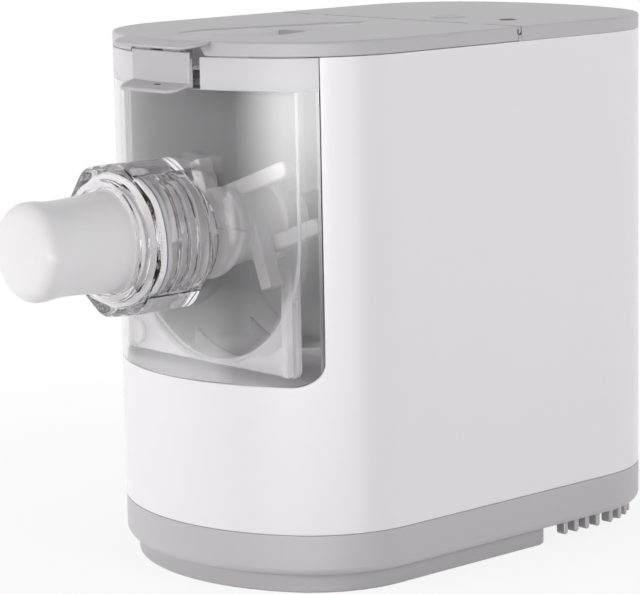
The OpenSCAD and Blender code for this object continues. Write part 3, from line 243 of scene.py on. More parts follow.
def outline(inset=0.0):
    """The body's outline as one closed loop of six arcs, each drawn in by the inset."""
    n = steps()
    return np.vstack([
        arc((FRONT_CX, FRONT_CY), FRONT_R - inset, FRONT_PHI, 0, n, 1),
        rear_arcs(inset, pi - REAR_PHI),
        arc((-REAR_CX, REAR_CY), REAR_R - inset, pi - REAR_PHI, pi, n, 1),
        arc((-FRONT_CX, FRONT_CY), FRONT_R - inset, pi, pi - FRONT_PHI, n),
        arc((0, FRONT_Y + FRONT_NOSE), FRONT_NOSE - inset, pi - FRONT_PHI, 2 * pi + FRONT_PHI, n, 1),
    ])


def front_y(x, inset=0.0):
    """The outline's front as y over x: the nose arc in the middle, a corner arc on each side."""
    switch = FRONT_CX + (FRONT_R - inset) * cos(FRONT_PHI)
    nose = FRONT_Y + FRONT_NOSE - np.sqrt(np.maximum((FRONT_NOSE - inset) ** 2 - x**2, 0))
    corner = FRONT_CY - np.sqrt(np.maximum((FRONT_R - inset) ** 2 - (np.abs(x) - FRONT_CX) ** 2, 0))
    return np.where(np.abs(x) <= switch, nose, corner)


def half_width(y, inset):
    """Half the outline's width behind its front end: straight sides, then the rear's corner and middle arcs."""
    past = np.maximum(y - REAR_CY, 0)
    corner = REAR_CX + np.sqrt(np.maximum((REAR_R - inset) ** 2 - past**2, 0))
    middle = np.sqrt(np.maximum((REAR_NOSE - inset) ** 2 - (y - (REAR_Y - REAR_NOSE)) ** 2, 0))
    return np.where(past <= (REAR_R - inset) * sin(REAR_PHI), corner, middle)


def rounded_rect(x0, y0, x1, y1, r, inset=0.0, n=6):
    """A rectangle with quarter-circle corners as a closed loop, drawn in by the inset."""
    x0, y0, x1, y1 = x0 + inset, y0 + inset, x1 - inset, y1 - inset
    r, q = max(r - inset, 0.02), pi / 2
    centres = ((x1 - r, y0 + r), (x1 - r, y1 - r), (x0 + r, y1 - r), (x0 + r, y0 + r))
    return np.vstack([arc(c, r, (i - 1) * q, i * q, n) for i, c in enumerate(centres)])


def round_over(r, h, n=5, top=True):
    """Insets and heights along a quarter circle of radius r that ends an edge at height h."""
    t = np.linspace(0, pi / 2, n + 1)
    drop = r * (1 - np.sin(t))
    rows = points(r * (1 - np.cos(t)), h - drop if top else h + drop)
    return rows if top else rows[::-1]


def loft(loop, levels, cap_low=False, cap_high=False):
    """A closed loop, drawn in by each level's inset and set at its height; a cap runs to the loop's middle."""
    rings = [at_z(loop(inset), z) for inset, z in levels]
    if cap_low:
        rings.insert(0, fan_tip(rings[0]))
    if cap_high:
        rings.append(fan_tip(rings[-1]))
    return closed(rings)


def bar(loop, r, low, high, n=3):
    """A closed loop lofted from low to high, with a quarter circle round each end and both ends capped."""
    return loft(loop, np.vstack([round_over(r, low, n, False), round_over(r, high, n)]), True, True)


def around(r, y, a, x=0.0, z=AXIS_Z):
    """Points round an axis along Y: x and z are the radius times cosine and sine of the angle, beside the axis."""
    return points(x + r * np.cos(a), y, z + r * np.sin(a))


def turned(profile, n=96, x=0.0, z=AXIS_Z):
    """A profile of radius and y, turned once round an axis along Y."""
    r, y = np.asarray(profile, float).T
    return around(r, y, np.linspace(0, 2 * pi, n + 1)[:, None], x, z)


def turned_up(profile, centre, n):
    """A profile of radius and z, turned once round an upright axis."""
    return turned(profile, n, *centre)[..., [0, 2, 1]]


def along_x(grid):
    """A loft made upright, laid down so that its heights run along X and its loop stands in Y and Z."""
    return grid[..., [2, 0, 1]]


def bar_x(loop, x0, x1):
    """A loop of y and z, carried along X and closed at both ends."""
    return along_x(loft(lambda inset: loop, [(0, x0), (0, x1)], True, True))


def block(low, high, r=0.6):
    """A box with rounded edges: a rounded rectangle lofted with quarter-circle ends."""
    (x0, y0, z0), (x1, y1, z1) = low, high
    r = min(r, (z1 - z0) / 2.05, (x1 - x0) / 2.05, (y1 - y0) / 2.05)
    return bar(lambda i: rounded_rect(x0, y0, x1, y1, r * 1.01, i, 3), r, z0, z1)


def shelf(half, front, back, corner, foot, slope, thick, edge):
    """A flat shelf with two rounded front corners and soft edges, which rises to the rear by the slope times y."""
    y, q = front + corner, pi / 2
    grid = bar(lambda i: np.vstack([
        arc((half - corner, y), corner - i, -q, 0, 12), [(half - i, back), (i - half, back)],
        arc((corner - half, y), corner - i, 2 * q, 3 * q, 12),
    ]), edge, foot, foot + thick, 4)
    grid[..., 2] += slope * (grid[..., 1] - front)
    return grid


# ---------------------------------------------------------------- meshes


def quads_of(u, v, first=0):
    """The quads between the rows and columns of a grid of u by v points, by their numbers."""
    at = first + np.arange(u * v).reshape(u, v)
    return np.stack([at[:-1, :-1], at[1:, :-1], at[1:, 1:], at[:-1, 1:]], -1)


def piece(name, grids, body, slot, stands_for=None, finish=None, thick=0.0, bevel=0.0, sharp=35, outward=True):
    """Quads over each grid of points, welded where grids meet, thickened inwards and its edges rounded if asked.

    A grid may come with a mask of the quads to keep. The finish is the slot's own unless another is named.
    """
    verts, faces, base = [], [], 0
    for grid in grids:
        grid, keep = grid if isinstance(grid, tuple) else (grid, None)
        quads = quads_of(*grid.shape[:2], base)
        faces.append(quads.reshape(-1, 4) if keep is None else quads[keep])
        verts.append(grid.reshape(-1, 3) / 1000)
        base += len(verts[-1])
    mesh = bpy.data.meshes.new(name)
    mesh.from_pydata(np.vstack(verts).tolist(), [], np.vstack(faces).tolist())
    weld(mesh, 2e-6, True, outward)
    obj = bpy.data.objects.new(name, mesh)
    bpy.context.scene.collection.objects.link(obj)
    if thick:
        shell = obj.modifiers.new("wall", "SOLIDIFY")
        shell.thickness, shell.offset, shell.use_even_offset = thick / 1000, -1, False
    if bevel:
        edge = obj.modifiers.new("edges", "BEVEL")
        edge.width, edge.segments, edge.limit_method, edge.angle_limit = bevel / 1000, 3, "ANGLE", radians(40)
        edge.use_clamp_overlap = True
    return dress(obj, body, finishes()[finish or slot], stands_for, sharp)


def weld(mesh, reach, clean=False, outward=False):
    """Merges points within reach, and if asked takes out edges without length and turns the faces outwards."""
    work = bmesh.new()
    work.from_mesh(mesh)
    bmesh.ops.remove_doubles(work, verts=work.verts, dist=reach)
    if clean:
        bmesh.ops.dissolve_degenerate(work, edges=work.edges, dist=1e-6)
    if outward:
        bmesh.ops.recalc_face_normals(work, faces=work.faces)
    work.to_mesh(mesh)
    work.free()


def dress(obj, body, finish, stands_for, sharp):
    """Bakes the modifiers into the mesh, shades it smooth but for its real edges, and hangs it on its body."""
    obj.modifiers.new("normals", "WEIGHTED_NORMAL").keep_sharp = True
    obj.data.shade_smooth()
    obj.data.set_sharp_from_angle(angle=radians(sharp))
    seen = obj.evaluated_get(bpy.context.evaluated_depsgraph_get())
    baked = bpy.data.meshes.new_from_object(seen)
    old, obj.data = obj.data, baked
    obj.modifiers.clear()
    bpy.data.meshes.remove(old)
    baked.name = obj.name
    baked.materials.clear()
    baked.materials.append(finish)
    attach(obj, body)
    if stands_for:
        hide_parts(stands_for)
    return obj


def carried(node):
    """A solid of the frame as a merged copy with smooth curves, in the place of the solid itself."""
    source = frame["nodes"][node]
    obj = bpy.data.objects.new(node + "_piece", source.data.copy())
    bpy.context.scene.collection.objects.link(obj)
    weld(obj.data, 1e-6)
    return dress(obj, source["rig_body"], finishes()[SLOTS[node]], node, 30)


# ---------------------------------------------------------------- materials


def add(tree, kind, inputs=None, out=0, **settings):
    """Adds a node and returns one of its outputs, or all of them for out=None.

    Each input is linked to another node's output or set to a value, and the settings are attributes or named inputs.
    """
    node = tree.nodes.new("ShaderNode" + kind)
    for key, value in settings.items():
        if key in node.bl_rna.properties and key not in node.inputs:
            setattr(node, key, value)
        else:
            node.inputs[key.replace("_", " ")].default_value = value
    for key, value in (inputs or {}).items():
        if isinstance(value, bpy.types.NodeSocket):
            tree.links.new(value, node.inputs[key])
        else:
            node.inputs[key].default_value = value
    return node.outputs if out is None else node.outputs[out]


def times(tree, a, b):
    """One output or value times another."""
    return add(tree, "Math", {0: a, 1: b}, operation="MULTIPLY")


def surface(name, base, roughness, ior=1.5, cell=None, depth=0.0, detail=2.0, spread=0.0, **shader):
    """A material with one Principled shader, returned with its tree, the shader and its object coordinates.

    Noise whose cells measure cell mm raises bumps of a depth in mm, and may spread the roughness with it.
    """
    made = bpy.data.materials.new(name)
    made.use_nodes = True
    made.diffuse_color = (*base, 1)
    tree = made.node_tree
    shade = tree.nodes["Principled BSDF"]
    for key, value in {"Base_Color": (*base, 1), "Roughness": roughness, "IOR": ior, **shader}.items():
        shade.inputs[key.replace("_", " ")].default_value = value
    place = add(tree, "TexCoord", out="Object")
    if cell:
        noise = add(tree, "TexNoise", {"Vector": place}, Scale=1000 / cell, Detail=detail)
        bump = add(tree, "Bump", {"Height": noise}, Strength=1.0, Distance=depth / 1000)
        tree.links.new(bump, shade.inputs["Normal"])
    if spread:
        rough = add(tree, "MapRange", {"Value": noise}, To_Min=roughness - spread, To_Max=roughness + spread)
        tree.links.new(rough, shade.inputs["Roughness"])
    return made, tree, shade, place


def show(tree, shader):
    """Makes a shader the one that the material shows."""
    tree.links.new(shader, tree.nodes["Material Output"].inputs["Surface"])


def gloss_abs(name, base):
    # ABS from a polished mould: an even, glossy skin with a slow ripple that only bends its reflections
    return surface(name, base, 0.24, 1.53, 28, 0.012, 1.0)[0]


def satin_abs(name, base, roughness=0.42):
    # ABS from a spark-eroded mould: a fine grain of about 0.3 mm, drawn at 0.7 mm, that dulls the gloss
    return surface(name, base, roughness, 1.53, 0.7, 0.006, spread=0.05)[0]


def chamber_abs_painted_light(name, base, foot=srgb("#E6E4E6"), lit_foot_z=0.106, shaded_wall_z=0.135):
    # ABS from a spark-eroded mould, satin like the trim; its colour runs from a pale foot up to darker grey walls:
    # painted light on the foot, where light through the front falls, and painted shade on the walls higher up, under
    # the lid
    made, tree, shade, place = surface(name, base, 0.6, 1.53, 0.7, 0.006, spread=0.05)
    height = add(tree, "SeparateXYZ", {0: place}, "Z")
    painted_light_share = add(tree, "MapRange", {"Value": height}, From_Min=shaded_wall_z, From_Max=lit_foot_z)
    tone = add(tree, "MixRGB", {"Fac": painted_light_share}, Color1=(*base, 1), Color2=(*foot, 1))
    tree.links.new(tone, shade.inputs["Base Color"])
    return made


def clear_plastic(name, base, roughness=0.02, ior=1.5, frost_z=None):
    # moulded polycarbonate or copolyester: clear, with bright edges, and faint flow ripples from the mould;
    # above frost_z the mould is blasted, so the clear sheet turns a milky white that light still passes
    made, tree, shade, place = surface(name, base, roughness, ior, 16, 0.02, 1.0, Transmission_Weight=1.0)
    last = shade.outputs[0]
    if frost_z:
        milky = add(tree, "BsdfPrincipled", Base_Color=(0.86, 0.85, 0.86, 1), Roughness=0.45, IOR=ior)
        glow = add(tree, "BsdfTranslucent", Color=(0.9, 0.89, 0.9, 1))
        white = add(tree, "MixShader", {0: 0.4, 1: milky, 2: glow})
        edge = {"From_Min": (frost_z - 0.3) / 1000, "From_Max": (frost_z + 0.3) / 1000}
        band = add(tree, "MapRange", {"Value": add(tree, "SeparateXYZ", {0: place}, "Z")}, To_Max=0.82, **edge)
        last = add(tree, "MixShader", {0: band, 1: last, 2: white})
    thin = add(tree, "BsdfTransparent", Color=(*[c**0.25 for c in base], 1))
    show(tree, add(tree, "MixShader", {0: add(tree, "LightPath", out="Is Shadow Ray"), 1: last, 2: thin}))
    return made


def clear_sheet(name, base, haze, milky=0.0):
    # a flat, thin moulding of the same clear plastic: it bends no light, and its haze and sheen lie over what is
    # behind; outside the tub's ring and below its axis a milky share is added to the haze: painted light, for the lit
    # lower chamber seen through it
    coat = {"Coat_Weight": 1.0, "Coat_Roughness": 0.03}
    made, tree, shade, place = surface(name, base, 0.06, 1.55, 16, 0.02, 1.0, Alpha=haze, **coat)
    if milky:
        low = add(tree, "VectorMath", {0: place, 1: (0, 0, TUB_Z / 1000)}, operation="SUBTRACT")
        flat = add(tree, "VectorMath", {0: low, 1: (1, 0, 1)}, operation="MULTIPLY")
        ring = add(tree, "VectorMath", {0: flat}, "Value", operation="LENGTH")
        painted_light_outside_ring = add(tree, "MapRange", {"Value": ring}, From_Min=0.066, From_Max=0.07, To_Max=milky)
        height = add(tree, "SeparateXYZ", {0: low}, "Z")
        below = add(tree, "MapRange", {"Value": height}, From_Min=0.0, From_Max=-0.05)
        alpha = add(tree, "Math", {0: times(tree, painted_light_outside_ring, below), 1: haze}, operation="ADD")
        tree.links.new(alpha, shade.inputs["Alpha"])
    return made


def milky_acetal(name, base):
    # food-grade acetal: dense milky white, light goes a little way in, from a lightly blasted mould
    under = {"Subsurface_Weight": 0.15, "Subsurface_Scale": 0.004}
    return surface(name, base, 0.36, 1.48, 1.0, 0.004, spread=0.03, **under)[0]


def moulded(name, base, roughness, cell=0.8, depth=0.01):
    # plain technical moulding, such as nylon, silicone or rubber: matt, with a fine even grain
    return surface(name, base, roughness, 1.5, cell, depth, spread=0.05)[0]


def turned_metal(name, base, roughness=0.28):
    # ground or drawn metal: fine scratches round or along the part make streaks in its reflections
    made, tree, shade, place = surface(name, base, roughness, Metallic=1.0)
    stretch = add(tree, "Mapping", {"Vector": place, "Scale": (1, 0.04, 1)})
    noise = add(tree, "TexNoise", {"Vector": stretch}, Scale=1000 / 0.5, Detail=2.0)
    rough = add(tree, "MapRange", {"Value": noise}, To_Min=roughness - 0.08, To_Max=roughness + 0.1)
    tree.links.new(rough, shade.inputs["Roughness"])
    return made


def lacquered_board(name, base):
    # glass-fibre board under green solder lacquer: the weave of about 0.5 mm, drawn at 1.2 mm, shows faintly
    made, tree, shade, place = surface(name, base, 0.35, Coat_Weight=0.5)
    weave = add(tree, "TexVoronoi", {"Vector": place}, Scale=1000 / 1.2)
    tone = add(tree, "MixRGB", {"Fac": weave}, Color1=(*base, 1), Color2=(*[c * 1.6 for c in base], 1))
    tree.links.new(tone, shade.inputs["Base Color"])
    return made


FINISHES = {}


def finishes():
    """The materials by their slot's name, made once."""
    if FINISHES:
        return FINISHES
    c = bpy.context.scene.pasta_colours
    FINISHES.update(
        white_shell=gloss_abs("gloss_white_abs", c.white_shell),
        grey_trim=satin_abs("satin_grey_abs", c.grey_trim),
        # painted light: the well's walls take a much lighter grey than the trim they belong to, for the light that
        # falls into the well
        well_grey=satin_abs("polished_well_abs_painted_light", srgb("#F0EEF0"), 0.3),
        plinth_grey=satin_abs("satin_plinth_abs", c.plinth, 0.5),
        # painted light on the chamber's foot and painted shade on its walls above
        chamber_grey=chamber_abs_painted_light("satin_chamber_abs", c.chamber),
        clear_panel=clear_plastic("clear_polycarbonate", c.clear, 0.03, 1.4),
        frosted_panel=clear_plastic("frosted_polycarbonate", c.clear, frost_z=257.0),
        clear_tub=clear_sheet("clear_copolyester", c.clear, 0.12),
        # the plate's milky share outside the tub's ring and below its axis is painted light
        clear_plate=clear_sheet("clear_polycarbonate_plate_painted_light", c.clear, 0.07, 0.38),
        white_food=milky_acetal("milky_acetal", c.food_white),
        gearbox_grey=moulded("glass_filled_nylon", srgb("#8A8A8D"), 0.5),
        gear_ivory=moulded("natural_acetal", srgb("#E2DBC6"), 0.4),
        dark_plastic=moulded("black_nylon", srgb("#242427"), 0.42),
        button_grey=satin_abs("satin_button_abs", srgb("#C9C8CC"), 0.36),
        seal_rubber=moulded("moulded_silicone", srgb("#B9BABD"), 0.55, 1.2, 0.008),
        foot_rubber=moulded("moulded_rubber", srgb("#3A3A3C"), 0.7, 0.6, 0.02),
        shaft_steel=turned_metal("ground_steel", srgb("#C4C6C9")),
        motor_steel=turned_metal("zinc_plated_steel", srgb("#A7AAAE"), 0.36),
        bronze=turned_metal("sintered_bronze", srgb("#B98E5A"), 0.45),
        copper=turned_metal("enamelled_copper", srgb("#B8693A"), 0.35),
        board_green=lacquered_board("lacquered_board", srgb("#2E6B43")),
    )
    return FINISHES


# ---------------------------------------------------------------- operators


class PASTA_OT_housing(bpy.types.Operator):
    """White housing: a wall along the outline, its front cut down to the opening, thickened inwards"""

    bl_idname = "pasta.housing"
    bl_label = "Housing"

    def execute(self, context):
        gap, corner = 0.4, 12.0
        open_x, open_z = PANEL_HIGH[0] + gap, PANEL_LOW[2] - gap
        inlet_low, inlet_high, inlet_half = 48.1, 71.1, 15
        flat, side_z = open_x - corner, open_z + corner
        low_rows = np.concatenate([[SHELL_Z, SHELL_Z + 0.2, SHELL_Z + 0.6], np.linspace(SHELL_Z + 4, side_z, 12)])
        low_in = np.array([0.7, 0.2] + [0.0] * 13)
        # front wall under the opening: over x, from the base band up to the opening's rounded lower edge
        bend = corner * np.sin(np.linspace(pi / 2, 0, 13))
        x = np.concatenate([-flat - bend, np.linspace(-flat, flat, 61)[1:-1], flat + bend[::-1]])
        edge = side_z - np.sqrt(np.maximum(corner**2 - np.maximum(np.abs(x) - flat, 0) ** 2, 0))
        rows = np.concatenate([low_rows, np.linspace(side_z, CAP_Z, 9)[1:], [inlet_low, inlet_high]])
        rows = np.unique(rows)
        low = rows[rows <= side_z + 1e-6]
        z = SHELL_Z + (low - SHELL_Z) / (side_z - SHELL_Z) * (edge[:, None] - SHELL_Z)
        y = np.stack([front_y(x, i) for i in np.interp(low, low_rows, low_in)], 1)

        def ring(inset):
            """The rest of the wall, from one side of the opening round the back, past the inlet, to the other."""
            r = FRONT_R - inset
            right = np.vstack([
                arc((FRONT_CX, FRONT_CY), r, -acos((open_x - FRONT_CX) / r), 0, steps()),
                points(HALF_W - inset, np.linspace(FRONT_CY, REAR_CY, 7)[1:-1]),
                rear_arcs(inset, acos(inlet_half / REAR_NOSE)),
            ])
            return np.vstack([right, mirrored(right)])

        rest = np.stack([at_z(ring(i), z) for i, z in zip(np.interp(rows, low_rows, low_in), rows)], 1)
        keep = np.ones((rest.shape[0] - 1, rest.shape[1] - 1), bool)
        keep[rest.shape[0] // 2 - 1, (mids(rows) > inlet_low) & (mids(rows) < inlet_high)] = False
        piece("white_housing", [points(x[:, None], y, z), (rest, keep)], "base", "white_shell", "housing",
              thick=size("wall"), bevel=0.55, outward=False)
        return {"FINISHED"}


class PASTA_OT_base(bpy.types.Operator):
    """Base band, floor with vent slots, comb of vent ribs, and the plinth, each a loop lofted through its levels"""

    bl_idname = "pasta.base"
    bl_label = "Base"

    def execute(self, context):
        levels = np.vstack([[(7.5, BAND_Z)], round_over(size("band_edge"), BAND_Z, 8, False),
                            [(0, SHELL_Z - 0.6), (0.15, SHELL_Z - 0.2), (0.7, SHELL_Z), (2.4, SHELL_Z)]])
        piece("base_band", [loft(outline, levels)], "base", "grey_trim", "base_pan", outward=False)
        self.floor()
        self.ribs(size("rib_pitch"))
        self.plinth()
        return {"FINISHED"}

    def floor(self):
        """The floor behind the plinth: columns across, rows to the rear, the slots' cells left out."""
        pitch, half_slot, inner_half, slot_front, slot_rear, inset = 12, 2.5, 42, 62, 112, 7.0
        slots = np.arange(-3, 4) * pitch
        inner = np.unique(np.concatenate([[-inner_half, inner_half], slots - half_slot, slots + half_slot]))
        y = np.concatenate([[-60], np.linspace(30, slot_front, 4), np.linspace(slot_rear, 139, 8), [143.4]])
        w, share = half_width(y, inset)[:, None], np.linspace(0, 1, 5)
        span, between = w - inner_half, np.tile(inner, (len(y), 1))
        x = np.hstack([span * share[:-1] - w, between, inner_half + span * share[1:]])
        plate = points(x, y[:, None], BAND_Z).transpose(1, 0, 2)
        xc, yc = mids(x[3])[:, None], mids(y)
        hole = (np.abs(xc - np.round(xc / pitch) * pitch) < half_slot) & (np.abs(xc) < 3 * pitch + half_slot)
        hole = hole & (yc > slot_front) & (yc < slot_rear)
        made = piece("base_floor", [(plate, ~hole)], "base", "grey_trim", outward=False)
        made.data.flip_normals()

    def ribs(self, pitch):
        """Each rib is a rounded tongue; the same grid is turned and moved to every place on the rear outline."""
        width, inset, first_y = 3.4, 5.1, 52.0
        loop = lambda i: rounded_rect(-width / 2, 2.6, width / 2, BAND_Z + 1, width / 2.02, i, 8)
        rib = along_x(bar(loop, 0.8, -6, 0))
        places = [(HALF_W - inset, first_y + i * pitch, 0.0) for i in range(int((REAR_CY - first_y) // pitch) + 1)]
        places += self.along_arc((REAR_CX, REAR_CY), REAR_R - inset, 0, REAR_PHI, pitch, 0.3)
        places += [(-x, y, pi - a) for x, y, a in places]
        rear = (0, REAR_Y - REAR_NOSE), REAR_NOSE - inset
        places += self.along_arc(*rear, REAR_PHI, pi - 2 * REAR_PHI, pitch, 0.5)
        turns = [(np.array([[cos(a), sin(a), 0], [-sin(a), cos(a), 0], [0, 0, 1]]), (x, y, 0))
                 for x, y, a in places]
        piece("vent_ribs", [rib @ turn + place for turn, place in turns], "base", "grey_trim")

    def along_arc(self, centre, r, start, span, pitch, lead):
        """Places at about a pitch along an arc, each as x, y and angle, the first one set back by its lead."""
        count = int(r * span // pitch)
        angles = [start + span * (i - lead) / count for i in range(1, count + 1)]
        return [(centre[0] + r * cos(a), centre[1] + r * sin(a), a) for a in angles]

    def plinth(self):
        """The outline's front, drawn in, and straight sides back to a rear edge with rounded corners."""
        set_back, rear_y, corner = 6.3, 40, 8

        def loop(i):
            r, w, rear = corner - min(i, 6), HALF_W - set_back - i, rear_y - i
            front = outline(set_back + i)
            front = front[front[:, 1] < FRONT_CY - 0.01]
            left, right = front[front[:, 0] < 0], front[front[:, 0] >= 0]
            corners = [arc((w - r, rear - r), r, 0, pi / 2, 8), arc((r - w, rear - r), r, pi / 2, pi, 8)]
            return np.vstack([left[np.argsort(-left[:, 1])], right[np.argsort(right[:, 1])],
                              [(w, FRONT_CY)], *corners, [(-w, FRONT_CY)]])

        levels = np.vstack([[(3.2, 0.8), (3.0, 0.1), (2.4, 0.0)], round_over(1.2, 0, 4, False), [(0, BAND_Z)]])
        piece("plinth_shell", [loft(loop, levels, True)], "base", "plinth_grey", "plinth", sharp=40)


def pear(shift, angles, centre):
    """Distances from a centre, at each angle, of the loop round the well's two circles and along their tangents.

    The shift widens both circles. The tangents touch where the arc sine of the radii's difference over the
    circles' distance says.
    """
    r1, r2 = WELL_R + shift, TIP_R + shift
    a = asin((r1 - r2) / (TIP_Y - WELL_Y))
    big, small = arc((0, WELL_Y), r1, pi - a, 2 * pi + a, 240), arc((0, TIP_Y), r2, a, pi - a, 80)
    t = np.linspace(0, 1, 60)[1:-1, None]
    loop = np.vstack([big, big[-1] * (1 - t) + small[0] * t, small, small[-1] * (1 - t) + big[0] * t])
    ang, rel = bearing(loop, centre)
    ang = np.unwrap(ang) % (2 * pi)
    order = np.argsort(ang)
    ang, dist = ang[order], np.hypot(rel[:, 0], rel[:, 1])[order]
    ang = np.concatenate([ang - 2 * pi, ang, ang + 2 * pi])
    return np.interp(angles % (2 * pi), ang, np.tile(dist, 3))


class PASTA_OT_lid(bpy.types.Operator):
    """Lid: rings from the pouring well out to the rounded edge and down, with the lip over the latch"""

    bl_idname = "pasta.lid"
    bl_label = "Lid"

    def execute(self, context):
        edge, rim, centre = size("top_edge"), CAP_Z + 0.3, (0.0, -78.0)
        rear, cut = HINGE_Y + 0.2, HINGE_Y - ROLL_R - 0.6
        lean, (near, far) = (rear - centre[1]) / (cut - centre[1]), TONGUE_GAP

        def ring(inset):
            """Front outline and straight sides, closed by the rear edge.

            The rear edge is cut back round each tongue of the rear cover, and the cut's sides run to the centre.
            """
            x = FRONT_CX + (FRONT_R - inset) * np.cos(np.linspace(0, -FRONT_PHI, steps()))
            x = np.concatenate([x, np.linspace(x[-1], 0, 42)[1:]])
            back = [(v, rear) for v in (0, 15, 30, 45, near)] + [(near / lean, cut), (far, cut), (far * lean, rear)]
            back += [(v, rear) for v in np.linspace(far * lean, HALF_W - inset, 6)[1:-1]]
            sides = points(HALF_W - inset, np.linspace(rear, FRONT_CY, 9)[:-1])
            right = np.vstack([back, sides, points(x, front_y(x, inset))])
            return np.vstack([right, mirrored(right)[1:-1]])

        outer = ring(edge)
        angles, _ = bearing(outer, centre)
        well = lambda shift: polar(centre, pear(shift, angles, centre), angles)
        foot, wall = well(-0.8), well(-0.3)
        rings = [at_z(foot, np.minimum(self.floor_z(foot[:, 1]), TOP_Z - 1.2)),
                 at_z(wall, np.minimum(self.floor_z(wall[:, 1]) + 0.8, TOP_Z - 1.0))]
        rings += [at_z(well(shift), TOP_Z - drop) for shift, drop in ((0, 0.9), (0.25, 0.3), (0.9, 0.0))]
        rings += [at_z(well(0.9) * (1 - t) + outer * t, TOP_Z) for t in (0.25, 0.5, 0.75)]
        rings += [at_z(ring(inset), z) for inset, z in round_over(edge, TOP_Z)[::-1]]
        # the side's lower edge, which is lifted over the latch
        side, latch_half, lip_t, wall_t, edge_r = ring(0), 28.4, 2.7, 2.4, 0.35
        lifted = np.clip((latch_half - np.abs(side[:, 0])) / 0.5, 0, 1) * (side[:, 1] < -130)
        low = rim + (TOP_Z - lip_t - rim) * lifted
        rings += [at_z(side, low + edge_r), at_z(ring(edge_r), low), at_z(ring(wall_t), low),
                  at_z(ring(wall_t + 0.2), TOP_Z - TOP_T)]
        grid = closed(rings)
        piece("lid_shell", [grid[:, 2:]], "lid", "grey_trim", "lid", sharp=42)
        # the well's walls carry a lighter grey, which is painted light
        piece("well_wall", [grid[:, :3]], "lid", "grey_trim", finish="well_grey", outward=False)
        self.lip()
        self.well_floor()
        self.underside()
        return {"FINISHED"}

    def floor_z(self, y):
        """The well's floor: level at the front, then rising in a straight ramp to the tip."""
        low, ramp_l, rise = TOP_Z - WELL_DEPTH, 47, 12.6
        return np.where(y < RAMP_Y, low, low + (y - RAMP_Y) / ramp_l * rise)

    def lip(self):
        """The lip over the latch: a sloping shelf, held under the lid's top and cut off behind its front."""
        grid = shelf(32.4, -157.6, -141.0, corner=10.0, foot=TOP_Z - 3.9, slope=0.17, thick=1.9, edge=0.8)
        grid[..., 2] = np.minimum(grid[..., 2], TOP_Z - 0.04)
        piece("lid_lip", [grid], "lid", "grey_trim", sharp=45)

    def well_floor(self):
        """The floor as rows along y between the well's sides, with the pour slots' cells left out."""
        big, small, starts = WELL_R - 0.8, TIP_R - 0.8, SLOT_Y + SLOT_PITCH * np.arange(SLOT_COUNT)
        y = np.concatenate([np.linspace(-127.6, -118, 14), starts, starts + SLOT_L, np.linspace(RAMP_Y, -8.4, 16)])
        y = np.unique(y)
        a = asin((WELL_R - TIP_R) / (TIP_Y - WELL_Y))
        wide = np.sqrt(np.maximum(big**2 - (y - WELL_Y) ** 2, 0))
        tip = np.sqrt(np.maximum(small**2 - (y - TIP_Y) ** 2, 0))
        tangent = big / cos(a) - (y - WELL_Y) * tan(a)
        w = np.where(y < TIP_Y + small * sin(a), tangent, tip)
        w = np.maximum(np.where(y < WELL_Y + big * sin(a), wide, w), 0.4)
        x = w[:, None] * np.array([-1, -0.7, -0.4, 0.4, 0.7, 1])
        slot = np.minimum(11.0, w * 0.6)
        x[:, 2], x[:, 3] = -slot, slot
        hole = np.zeros((len(y) - 1, 5), bool)
        for start in starts:
            hole[(mids(y) > start) & (mids(y) < start + SLOT_L), 2] = True
        floor = points(x, y[:, None], self.floor_z(y)[:, None])
        piece("well_floor", [(floor, ~hole)], "lid", "grey_trim", thick=2.2, bevel=0.4, sharp=40, outward=False)
        # a rounded bar between each slot and the next
        half, front, rear, foot = 13, -96.4, -93.6, TOP_Z - WELL_DEPTH
        ribs = [block((-half, front + y, foot), (half, rear + y, foot + 5.5), 0.9) for y in (0, SLOT_PITCH)]
        piece("guard_ribs", ribs, "lid", "grey_trim", finish="white_food")

    def underside(self):
        """Plug walls, latch ears and the rolled rear edge."""
        low, high = mm("lid_gasket")
        z0, z1 = high[2], TOP_Z - TOP_T
        levels = [(2, z1), (2, z0 + 0.4), (1.6, z0), (0.4, z0), (0, z0 + 0.4), (0, z1)]
        parts = [loft(lambda i: rounded_rect(-high[0], low[1], high[0], high[1], 3.0, i), levels)]
        parts += [block((x - 2, -144.5, 265), (x + 2, -138.5, z1 + 0.3), 0.8) for x in (-12, 12)]
        piece("lid_plug", parts, "lid", "grey_trim")
        flat = HINGE_Y - 0.6
        roll = np.vstack([arc((HINGE_Y, HINGE_Z), ROLL_R, pi * 0.5, -pi * 0.5, 14),
                          [(flat, HINGE_Z - ROLL_R), (flat, HINGE_Z + ROLL_R - 0.02)]])
        near, far = TONGUE_GAP
        rolls = [bar_x(roll, *ends) for ends in ((-HALF_W, -far), (-near, near), (far, HALF_W))]
        piece("lid_roll", rolls, "lid", "grey_trim")


